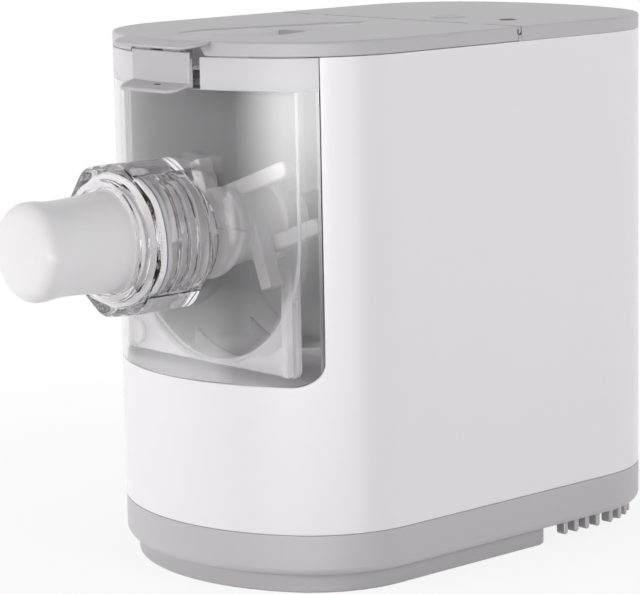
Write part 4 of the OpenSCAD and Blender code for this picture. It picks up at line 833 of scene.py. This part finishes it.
class PASTA_OT_rear_cover(bpy.types.Operator):
    """Rear cover: rings lofted down its edge, and a flat top joined to them round the button holes"""

    bl_idname = "pasta.rear_cover"
    bl_label = "Rear cover"

    def execute(self, context):
        front = HINGE_Y + ROLL_R + 0.6

        def ring(inset, front_inset):
            """The front edge, the straight sides and the rear outline, drawn in."""
            y0 = front + front_inset
            right = np.vstack([
                points(np.linspace(0, HALF_W - inset, 12)[:-1], y0),
                points(HALF_W - inset, np.linspace(y0, REAR_CY, 7)[:-1]),
                rear_arcs(inset, pi / 2),
            ])
            return np.vstack([right, mirrored(right)[1:-1]])

        top = round_over(size("top_edge"), TOP_Z)
        rows = [(0.9, CAP_Z), (0.25, CAP_Z + 0.1), (0, CAP_Z + 0.4), *top]
        parts = [closed([at_z(ring(i, min(i, 0.5)), z) for i, z in rows])]
        # the flat top, cut in two between the buttons: a soft edge round each hole, and rays from there to the edge
        cut_x, holes = 39.0, ((START_AT, 10.35), (POWER_AT, 4.85))
        for centre, r, loop in self.split(ring(top[-1][0], 0.5), cut_x, holes):
            a, _ = bearing(loop, centre)
            hole, soft = polar(centre, r, a), polar(centre, r + 0.5, a)
            rings = [at_z(hole, TOP_Z - 3.2), at_z(hole, TOP_Z - 0.5), at_z(soft, TOP_Z)]
            parts.append(closed(rings + [at_z(soft * (1 - t) + loop * t, TOP_Z) for t in (0.3, 0.65, 1.0)]))
        piece("rear_cover_shell", parts, "base", "grey_trim", "rear_cover", sharp=42)
        nose = np.vstack([arc((HINGE_Y, HINGE_Z), ROLL_R, pi * 0.5, pi * 1.5, 14),
                          [(front + 1.0, HINGE_Z - ROLL_R), (front + 1.0, TOP_Z - 0.02)]])
        parts = [bar_x(nose, x - TONGUE_HALF, x + TONGUE_HALF) for x in (-TONGUE_X, TONGUE_X)]
        # the shelf's floor, the wall behind the seam and the ledge under the roll
        half, low = HALF_W - 4, mm("rear_cover")[0]
        parts += [block((-half, low[1], low[2]), (half, front + 2, low[2] + 1.5), 0.4),
                  block((-half, front, low[2]), (half, front + 2.4, TOP_Z - 2), 0.4),
                  block((-HALF_W, HINGE_Y + 0.6, CAP_Z + 0.02), (HALF_W, front + 0.6, HINGE_Z - ROLL_R - 0.6), 0.3)]
        piece("hinge_tongues", parts, "base", "grey_trim")
        return {"FINISHED"}

    def split(self, loop, x, holes):
        """Cuts a closed loop at x into a left and a right loop that share the cut's points, one for each hole."""
        after = np.roll(loop, -1, 0)
        cut = [a[1] + (b[1] - a[1]) * (x - a[0]) / (b[0] - a[0])
               for a, b in zip(loop, after) if (a[0] - x) * (b[0] - x) < 0]
        seam = points(x, np.linspace(min(cut), max(cut), 21))
        for side, (centre, r) in zip((-1, 1), holes):
            part = np.vstack([loop[(loop[:, 0] - x) * side > 1e-6], seam])
            yield centre, r, part[np.argsort(bearing(part, centre)[0])]


class PASTA_OT_front(bpy.types.Operator):
    """Clear front: a sheet over x and z on the outline, split at the barrel's hole and notched for the latch"""

    bl_idname = "pasta.front"
    bl_label = "Clear front"

    def execute(self, context):
        hole, corner, notch_x, notch_z = 34.2, 11.6, 26.5, 257.3
        low, high, flat = PANEL_LOW[2], PANEL_HIGH[2], PANEL_HIGH[0] - corner
        bend = flat + corner * np.sin(np.linspace(0, pi / 2, 13))
        rim = hole * np.sin(np.linspace(0.45, pi / 2, 26))
        x = np.concatenate([[0, 7, 14, notch_x], rim, np.linspace(hole, flat, 14)[1:], bend[1:]])
        x = np.unique(np.round(x, 4))
        x = np.concatenate([-x[:0:-1], x])
        bottom = low + corner - np.sqrt(np.maximum(corner**2 - np.maximum(np.abs(x) - flat, 0) ** 2, 0))
        gap = np.sqrt(np.maximum(hole**2 - x**2, 0))
        share = np.linspace(0, 1, 9)
        lower = bottom[:, None] + share * (AXIS_Z - gap - bottom)[:, None]
        upper = (AXIS_Z + gap)[:, None] + share * (notch_z - AXIS_Z - gap)[:, None]
        sheet = lambda z: points(x[:, None], front_y(x)[:, None], z)
        keep = np.broadcast_to(np.abs(mids(x))[:, None] > notch_x, (len(x) - 1, 4))
        grids = [sheet(lower), sheet(upper), (sheet(np.linspace(notch_z, high, 5)), keep)]
        piece("clear_front", grids, "front_head", "clear_panel", "front_panel", "frosted_panel",
              size("clear_wall"), 0.5, outward=False)
        self.barrel(size("thread_pitch"))
        self.plate()
        return {"FINISHED"}

    def barrel(self, pitch):
        """Barrel: a threaded tube whose radius rises and falls with y plus the angle's share of the pitch."""
        front, thread_end, wall_end = BARREL_LOW[1], -148, -145
        a = np.linspace(0, 2 * pi, 129)[:, None]
        y = np.linspace(front + 3, thread_end, 150)[None, :]
        phase = ((y - front) / pitch - a / (2 * pi)) % 1
        # the crest is a narrow ridge that is cut off flat
        crest_h, ridge = 2.2, np.clip(1.3 - np.abs(phase - 0.5) * 10, 0, 1)
        fade = np.clip((y - front - 3) / 3, 0, 1) * np.clip((thread_end - 1 - y) / 3, 0, 1)
        mouth = [(BARREL_R, thread_end), (BARREL_R, wall_end), (BORE_R, wall_end), (BORE_R, front + 0.4),
                 (28.0, front), (31.0, front), (BARREL_R, front + 0.5), (BARREL_R, front + 3)]
        grids = [around(BARREL_R + crest_h * ridge * fade, y, a), turned(mouth, 128)]
        piece("clear_barrel", grids, "front_head", "clear_panel", "extrusion_barrel", sharp=40)

    def plate(self):
        """The plate, as rays from the barrel to its rounded edge on both faces, with flange, key, rails and pegs."""
        wall_end, rear, z0, z1 = -145, BARREL_HIGH[1], BARREL_LOW[2], BARREL_HIGH[2]
        half, y0 = 69, rear - 3
        tail = [(BARREL_R, wall_end), (BARREL_R, -140.2), (32.0, -139.4), (37.4, -139.0), (37.9, -138.6),
                (37.9, -136.4), (37.4, -136.0), (BARREL_R, -136.0), (BARREL_R, rear - 0.2), (31.2, rear),
                (27.6, rear), (BORE_R, rear - 0.3), (BORE_R, wall_end), (BARREL_R, wall_end)]
        corners = rounded_rect(-half, z0, half, z1, 5)
        rim = []
        for p, q in zip(corners, np.roll(corners, -1, 0)):
            k = max(1, int(np.hypot(*(q - p)) // 6))
            rim.append(p + (q - p) * (np.arange(k) / k)[:, None])
        rim = np.vstack(rim)
        angles, rel = bearing(rim, (0, AXIS_Z))
        hole = polar((0, AXIS_Z), BARREL_R + 0.1, angles)
        soft = rim - rel / np.hypot(rel[:, 0], rel[:, 1])[:, None] * 0.5
        rows = ((hole, y0), (soft, y0), (rim, y0 + 0.5), (rim, rear - 0.5), (soft, rear), (hole, rear))
        parts = [closed([at_y(loop, y) for loop, y in rows]), turned(tail, 128)]
        parts.append(block((-15, y0 - 3, AXIS_Z + 29), (15, y0 - 0.05, AXIS_Z + 38), 0.8))
        peg = [(0, y0 - 2), (5.9, y0 - 2), (6.5, y0 - 1.4), (6.5, y0 - 0.05), (0, y0 - 0.05)]
        for side, x0 in ((-1, -66), (1, 62)):
            parts.append(block((x0, -125.6, z0 + 1), (x0 + 4, y0 - 0.05, AXIS_Z - 14)))
            parts.append(turned(peg, 40, side * 59.5, 121))
        piece("barrel_plate", parts, "front_head", "clear_panel", finish="clear_plate")


class PASTA_OT_nozzle(bpy.types.Operator):
    """Nut and cap: an eight-sided loop with rounded corners lofted along the axis, and turned profiles"""

    bl_idname = "pasta.nozzle"
    bl_label = "Nozzle"

    def execute(self, context):
        self.nut(NUT_LOW[1], NUT_LOW[1] + 5.0, NUT_HIGH[1])
        self.cap(CAP_LOW[1], CAP_HIGH[1])
        return {"FINISHED"}

    def nut(self, front, wall_y, rear):
        """The raised ring, the front wall and the grip: eight flats and a circle, joined by a smooth minimum.

        The smooth minimum is minus the logarithm of both distances' summed falling exponentials, over a sharpness.
        """
        apothem, corner_r, soft, ring_r = 38.34, 40.2, 3.0, 31.4
        a = np.linspace(0, 2 * pi, 129)
        flat = apothem / np.cos(np.radians(((np.degrees(a) + 13) % 45) - 22.5))
        grip = -np.log(np.exp(-soft * flat) + np.exp(-soft * corner_r)) / soft
        rows = [(27.4, front + 0.4), (27.8, front), (30.6, front), (31.2, front + 0.6), (ring_r, wall_y - 0.6)]
        rows += [(ring_r + (grip - ring_r) * share, wall_y + y) for share, y in ((0.1, 0.1), (0.86, 0.4), (0.97, 0.9))]
        rows += [(grip, wall_y + 2 + (rear - wall_y - 2.6) * t) for t in (0, *np.linspace(0.1, 0.95, 8))]
        rows += [(grip, rear - 0.6), (grip - 0.6, rear), (34.8, rear), (34.3, rear - 0.5), (34.3, wall_y + 4.2),
                 (33.9, wall_y + 4.0), (27.6, wall_y + 4.0), (27.3, wall_y + 3.6), (27.3, front + 0.8),
                 (27.4, front + 0.4)]
        grid = np.stack([around(r, y, a) for r, y in rows], 1)
        piece("clear_nut", [grid], "nut", "clear_panel", "nozzle_nut", sharp=25)

    def cap(self, tip, base):
        """The cap's profile: its inside, its waisted wall as radius over distance from the base, its round head."""
        inner = ((0, 54.0), (12, 53.8), (18, 51), (20.3, 47), (20.3, 0.4), (20.6, 0))
        wall = ((26.0, 0), (26.3, 0.4), (25.9, 6), (25.2, 13), (24.6, 20), (24.15, 27), (23.95, 34), (24.0, 39),
                (24.4, 42.5), (24.85, 45.5))
        head_r, soft = 25, 8
        profile = [(r, base - d) for r, d in inner + wall]
        profile += [(head_r - soft + soft * cos(a), tip + 1.2 + soft - soft * sin(a))
                    for a in np.linspace(0, radians(84), 12)]
        profile += [(12, tip + 0.35), (6, tip + 0.1), (0, tip)]
        piece("cap_shell", [turned(profile, 128)], "cap", "white_food", "outlet_cap", sharp=50)


class PASTA_OT_chamber(bpy.types.Operator):
    """Clear tub and its gasket: a half-circle with upright sides carried along the axis, with a rear wall"""

    bl_idname = "pasta.chamber"
    bl_label = "Mixing chamber"

    def execute(self, context):
        top, front, rear = TUB_HIGH[2], TUB_LOW[1], TUB_HIGH[1]

        def bow(r, top):
            """Down one side, round the bottom and up the other."""
            down = np.linspace(0, 1, 8)[:-1]
            left, right = points(-r, top + (TUB_Z - top) * down), points(r, TUB_Z + (top - TUB_Z) * (1 - down[::-1]))
            return np.vstack([left, arc((0, TUB_Z), r, pi, 2 * pi, 64), right])

        def carry(rows, top):
            return np.stack([at_y(bow(r, top), y) for r, y in rows], 1)

        rim, wall = TUB_RIM_R, TUB_WALL_R
        shell = carry([(TUB_R, rear - 2.5), (TUB_R, front + 0.4), (66.4, front), (70.1, front), (rim, front + 0.4),
                       (rim, front + 2.1), (70.1, front + 2.5), (68.9, front + 2.5), (wall, front + 3.0),
                       (wall, rear)], top)
        # rear wall: rays from the hub's hole to the bow and across the open top
        loop = np.vstack([bow(68.4, top), points(np.linspace(68.4, -68.4, 24)[1:-1], top)])
        hub = polar((0, AXIS_Z), 15, bearing(loop, (0, AXIS_Z))[0])
        rows = ((loop, rear - 2.5), (hub, rear - 2.5), (hub, rear), (loop, rear), (loop, rear - 2.5))
        piece("clear_tub", [shell, closed([at_y(p, y) for p, y in rows])], "base", "clear_tub", "mixing_tub")
        low, high = (corner[1] for corner in mm("tub_gasket"))
        seal = carry([(66.4, high), (66.4, low + 0.3), (66.7, low), (68.0, low), (68.3, low + 0.3), (68.3, high),
                      (66.4, high)], top - 6)
        piece("tub_seal", [seal], "base", "seal_rubber", "tub_gasket")
        return {"FINISHED"}


class PASTA_OT_paddle(bpy.types.Operator):
    """Paddle: a turned drum and shaft, tangent arms, and a flight whose section is carried along a helix"""

    bl_idname = "pasta.paddle"
    bl_label = "Mixing paddle"

    def execute(self, context):
        turns = context.scene.pasta_sizes.screw_turns
        front, rear, drum, end = PADDLE_LOW[1], PADDLE_HIGH[1], -114.0, -80.0
        profile = [(0, front), (6.5, front), (8.6, front + 1.2), (9, front + 3), (9, drum - 1.2), (10.2, drum),
                   (18.8, drum), (20, drum + 1.2), (20, end - 7.2), (20.6, end - 6.2), (22.4, end - 6), (23, end - 5.4),
                   (23, end - 0.6), (22.4, end), (14.5, end), (13, end + 1.5), (13, rear - 0.6), (12.4, rear),
                   (8.2, rear), (8.2, rear - 15), (0, rear - 15)]
        # the flight: a tapered section with a rounded crest, turned and advanced together
        u = np.linspace(0, 1, int(72 * turns) + 1)[:, None]
        t = np.linspace(-1, 1, 9)
        crest = points(24.4 + 2.2 * np.sqrt(1 - t**2 * 0.98), 2.4 * t)
        r, dy = np.vstack([[(8.5, -4.2)], crest, [(8.5, 4.2)], [(8.5, -4.2)]]).T
        flight = around(r, front + 4.5 + (drum - front - 8) * u + dy, 2 * pi * turns * u)
        parts = [turned(profile), flight, np.stack([fan_tip(flight[0]), flight[0]]),
                 np.stack([flight[-1], fan_tip(flight[-1])])]
        for turn in (0, 180):
            parts += [self.arm(drum + 8, 20 + turn, 1), self.arm(drum + 20, 20 + turn, -1)]
            parts.append(self.short_arm(drum + 8, 110 + turn))
        piece("paddle_body", parts, "output", "white_food", "mixing_paddle", sharp=40)
        return {"FINISHED"}

    def arm(self, y, turn, side):
        """A bar with a round end along a tangent of the drum: its corner ends at the reach, by Pythagoras."""
        low, high, reach, q = 11.5, 20.0, 58, pi / 2
        tip, middle = sqrt(reach**2 - (high + 1) ** 2) - 5, (low + high) / 2
        loop = lambda i: np.vstack([arc((tip, middle), 4.2 - i, -q, q, 10), arc((-2, middle), 4.25 - i, q, 3 * q, 6)])
        return self.turned_about(bar(loop, 1.6, 0, 9, 4), y, turn, side)

    def short_arm(self, y, turn):
        """A square-ended bar with rounded edges along a tangent of the drum."""
        loop = lambda i: rounded_rect(-4, 11.5, 38.7, 19.8, 1.2, i, 4)
        return self.turned_about(bar(loop, 0.9, 0, 9, 4), y, turn, 1)

    def turned_about(self, grid, y, turn, side):
        """A bar drawn in x and z, mirrored by its side, turned about the drive axis and moved along it."""
        x, z, d = grid[..., 0], grid[..., 1] * side, grid[..., 2]
        c, s = cos(radians(turn)), sin(radians(turn))
        return points(c * x - s * z, y + d, AXIS_Z + s * x + c * z)


class PASTA_OT_latch(bpy.types.Operator):
    """Latch: a plate with soft side edges, carried across a flat bow, with its finger lip, and its spring"""

    bl_idname = "pasta.latch"
    bl_label = "Latch"

    def execute(self, context):
        half, soft, low, high, slope = 22.8, 0.9, 258.1, 275.65, 0.26
        t = np.linspace(0, pi / 2, 5)
        side = half - soft * (1 - np.sin(t))
        x = np.concatenate([-side[::-1], np.linspace(-side[0], side[0], 33)[1:-1], side])
        drop = np.concatenate([soft * (1 - np.cos(t[::-1])), np.zeros(31), soft * (1 - np.cos(t))])
        face = -150.0 + 0.9 * (x / half) ** 2
        rows = ((face + 2.5, low), (face + drop, low), (face + drop, 275.0), (face + 0.2 + drop, 275.45),
                (face + 0.5 + drop * 0.6, high), (face + 1.2, high), (face + 1.2, 272.3), (face + 2.1, 272.3),
                (face + 2.5, 271.9), (face + 2.5, low))
        plate = np.stack([points(x, y, z) for y, z in rows], 1)
        parts = [plate, np.stack([fan_tip(plate[0]), plate[0]]), np.stack([plate[-1], fan_tip(plate[-1])]),
                 shelf(half, -160.2, -147.2, corner=6.4, foot=255.25, slope=slope, thick=2.0, edge=0.9)]
        parts += [block((x - 2, -147.7, 265), (x + 2, -139, 270.5), 0.8) for x in (-7, 7)]
        piece("latch_plate", parts, "latch", "grey_trim", "lid_latch", sharp=42)
        mark = turned_up([(0, 0.05), (1.0, 0.05), (1.05, 0)], (0, 0), 24) * (2.6, 0.8, 1)
        mark[..., 2] += mark[..., 1] * slope
        mark += (3.0, -153.4, 257.26 + 6.8 * slope)
        piece("latch_mark", [mark], "latch", "dark_plastic")
        # one helix of wire round the pin: turns, radius and pitch of the coil, radius of the wire, the pin's line
        turns, coil_r, pitch, wire, pin_y, pin_z = 5, 2.4, 1.3, 0.55, -141.5, 268
        u = np.linspace(0, 2 * pi * turns, 40 * turns + 1)[:, None]
        v = np.linspace(0, 2 * pi, 13)
        r = coil_r + wire * np.cos(v)
        x = u * pitch / (2 * pi) - pitch * turns / 2 + wire * np.sin(v)
        coil = points(x, pin_y + r * np.cos(u), pin_z + r * np.sin(u))
        piece("latch_coil", [coil], "latch", "shaft_steel", "latch_spring")
        return {"FINISHED"}


class PASTA_OT_buttons(bpy.types.Operator):
    """Buttons: turned caps with a soft edge, the larger with a shallow dish and a raised ring"""

    bl_idname = "pasta.buttons"
    bl_label = "Buttons"

    def execute(self, context):
        # each face as radius over depth; below it, a flange under the cover and a stem
        flange, stem = 1.4, 2.5
        dish = [(0, 0.9), (5.5, 0.75), (7.4, 0.45), (8.2, 0.1), (8.9, 0), (9.5, 0.15), (9.9, 0.6), (10, 1.2)]
        dome = [(0, 0), (3.4, 0.05), (4.2, 0.3), (4.5, 0.8)]
        for key, face, at, n, slot in (("start", dish, START_AT, 72, "button_grey"),
                                       ("power", dome, POWER_AT, 48, "dark_plastic")):
            low, high = mm(key + "_button")
            r = face[-1][0]
            profile = [(v, high[2] - drop) for v, drop in face]
            profile += [(r, 277.1), (r + flange, 277.0), (r + flange, 275.8),
                        (stem, 275.7), (stem, low[2]), (0, low[2])]
            piece(key + "_cap", [turned_up(profile, at, n)], key, slot, key + "_button")
        return {"FINISHED"}


class PASTA_OT_inside(bpy.types.Operator):
    """Every other solid of the part, carried over with its own finish"""

    bl_idname = "pasta.inside"
    bl_label = "Inner parts"

    def execute(self, context):
        for node, obj in frame["nodes"].items():
            if not obj.hide_render:
                carried(node)
        return {"FINISHED"}


class PASTA_OT_stage(bpy.types.Operator):
    """Pale floor, plain soft lamps and the camera"""

    bl_idname = "pasta.stage"
    bl_label = "Stage"

    def execute(self, context):
        scene = context.scene
        scene.view_settings.view_transform = "Standard"
        self.floor()
        self.world(scene)
        self.lamp("key_lamp", -108, 8, 2.0, (0.9, 0.9), 20)
        self.lamp("side_lamp", 5, 20, 2.0, (1.0, 1.2), 14)
        self.lamp("top_lamp", 60, 75, 1.9, (1.2, 1.2), 1.5)
        self.lamp("rear_lamp", 160, 15, 2.0, (1.0, 1.2), 9)
        self.camera(scene)
        return {"FINISHED"}

    def direct(self, tree):
        """The light path's outputs, and 1 for a ray that comes straight from the camera or through a clear part."""
        path = add(tree, "LightPath", out=None)
        rays = {0: path["Is Camera Ray"], 1: path["Is Transmission Ray"]}
        return path, add(tree, "Math", rays, operation="MAXIMUM")

    def floor(self):
        """A disc: radius over angle, level with the plinth's foot."""
        a = np.linspace(0, 2 * pi, 65)[:, None]
        r = np.array([0.0, 300, 900, 2500, 6000])
        grid = points(r * np.cos(a), r * np.sin(a), -0.05)
        mesh = bpy.data.meshes.new("floor")
        mesh.from_pydata((grid.reshape(-1, 3) / 1000).tolist(), [], quads_of(65, 5)[..., ::-1].reshape(-1, 4).tolist())
        mesh.flip_normals()
        obj = bpy.data.objects.new("floor", mesh)
        bpy.context.scene.collection.objects.link(obj)
        made, tree, shade, place = surface("studio_paper", (0.86, 0.86, 0.87), 0.9)
        reach = add(tree, "VectorMath", {0: place}, "Value", operation="LENGTH")
        fade = add(tree, "MapRange", {"Value": reach}, From_Min=0.1, From_Max=0.55, To_Min=0.86, To_Max=1.0)
        glow = add(tree, "Emission", Color=(1, 1, 1, 1), Strength=1.0)
        show(tree, add(tree, "MixShader", {0: times(tree, self.direct(tree)[1], fade), 1: shade.outputs[0], 2: glow}))
        mesh.materials.append(made)
        obj.visible_glossy = False

    def world(self, scene):
        """White behind the object and in glass, a pale even light, and in reflections three soft boxes.

        Each box is a smooth step up and down over the turn about Z times a smooth step up and down over the height.
        """
        world = bpy.data.worlds.new("studio")
        scene.world = world
        world.use_nodes = True
        tree = world.node_tree
        path, seen = self.direct(tree)
        way = add(tree, "SeparateXYZ", {0: add(tree, "TexCoord", out="Generated")}, None)
        turn = add(tree, "Math", {0: way["Y"], 1: way["X"]}, operation="ARCTAN2")

        def rise_and_fall(value, *limits):
            up, down = ({"interpolation_type": "SMOOTHSTEP", "From_Min": a, "From_Max": b} for a, b in limits)
            return times(tree, add(tree, "MapRange", {"Value": value}, **up),
                         add(tree, "MapRange", {"Value": value}, To_Min=1.0, To_Max=0.0, **down))

        # turns in degrees and sines of height where each box begins and ends, and its strength
        boxes = (
            ((-98, -64), (-34, -26), (-0.17, -0.105), (0.0, 0.08), 12.0),
            ((-40, -24), (-8, 6), (-0.27, -0.24), (0.0, 0.08), 3.6),
            ((-180, -125), (-112, -95), (-0.215, -0.2), (-0.2, -0.165), 4.0),
        )
        light = 1.0
        for left, right, low, high, strength in boxes:
            sides = rise_and_fall(turn, np.radians(left), np.radians(right))
            shape = times(tree, sides, rise_and_fall(way["Z"], low, high))
            light = add(tree, "Math", {0: light, 1: times(tree, shape, strength)}, operation="ADD")
        lit = add(tree, "MapRange", {"Value": path["Is Glossy Ray"], "To Max": light}, To_Min=0.3)
        level = add(tree, "MapRange", {"Value": seen, "To Min": lit}, To_Max=1.0)
        back = tree.nodes["Background"]
        back.inputs["Color"].default_value = (1, 1, 1, 1)
        tree.links.new(level, back.inputs["Strength"])

    def lamp(self, name, turn, lift, distance, size, power):
        """A soft rectangular lamp at a turn about Z, a lift above the floor and a distance, facing the object."""
        turn, lift = radians(turn), radians(lift)
        way = Vector((cos(turn) * cos(lift), sin(turn) * cos(lift), sin(lift)))
        data = bpy.data.lights.new(name, "AREA")
        data.shape, data.size, data.size_y, data.energy = "RECTANGLE", *size, power
        obj = bpy.data.objects.new(name, data)
        obj.location = way * distance + Vector((0, 0, 0.14))
        obj.rotation_euler = way.to_track_quat("Z", "Y").to_euler()
        obj.visible_camera, obj.visible_glossy, obj.visible_transmission = False, False, False
        bpy.context.scene.collection.objects.link(obj)

    def camera(self, scene):
        """The camera's axes from its azimuth, elevation and roll."""
        az, el, roll = (radians(v) for v in (48.2503, 9.8355, -1.1318))
        back = Vector((sin(az) * cos(el), -cos(az) * cos(el), sin(el)))
        right = Vector((cos(az), sin(az), 0))
        up = back.cross(right)
        x = right * cos(roll) + up * sin(roll)
        y = up * cos(roll) - right * sin(roll)
        data = bpy.data.cameras.new("camera")
        data.lens, data.sensor_width, data.clip_start, data.clip_end = 157.14, 36, 0.05, 20
        obj = bpy.data.objects.new("camera", data)
        turn = Matrix((x, y, back)).transposed().to_4x4()
        obj.matrix_world = Matrix.Translation((1.102382, -1.027901, 0.391986)) @ turn
        scene.collection.objects.link(obj)
        scene.camera = obj


class PASTA_PT_panel(bpy.types.Panel):
    """Sizes, colours and pieces of the pasta maker"""

    bl_label = "Pasta maker"
    bl_idname = "PASTA_PT_panel"
    bl_space_type = "VIEW_3D"
    bl_region_type = "UI"
    bl_category = "Pasta maker"

    def draw(self, context):
        layout = self.layout
        for group in (context.scene.pasta_sizes, context.scene.pasta_colours):
            box = layout.box()
            for key in group.__annotations__:
                box.prop(group, key)
        for op in OPERATORS:
            layout.operator(op.bl_idname)


OPERATORS = (
    PASTA_OT_housing, PASTA_OT_base, PASTA_OT_lid, PASTA_OT_rear_cover, PASTA_OT_front, PASTA_OT_nozzle,
    PASTA_OT_chamber, PASTA_OT_paddle, PASTA_OT_latch, PASTA_OT_buttons, PASTA_OT_inside, PASTA_OT_stage,
)
CLASSES = (PastaMakerSizes, PastaMakerColours, *OPERATORS, PASTA_PT_panel)


def register():
    for cls in CLASSES:
        bpy.utils.register_class(cls)
    bpy.types.Scene.pasta_sizes = PointerProperty(type=PastaMakerSizes)
    bpy.types.Scene.pasta_colours = PointerProperty(type=PastaMakerColours)


def unregister():
    del bpy.types.Scene.pasta_sizes
    del bpy.types.Scene.pasta_colours
    for cls in reversed(CLASSES):
        bpy.utils.unregister_class(cls)


def main():
    """Registers the classes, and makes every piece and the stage."""
    register()
    for op in OPERATORS:
        getattr(bpy.ops.pasta, op.bl_idname.split(".")[1])()


if __name__ == "__main__":
    main()
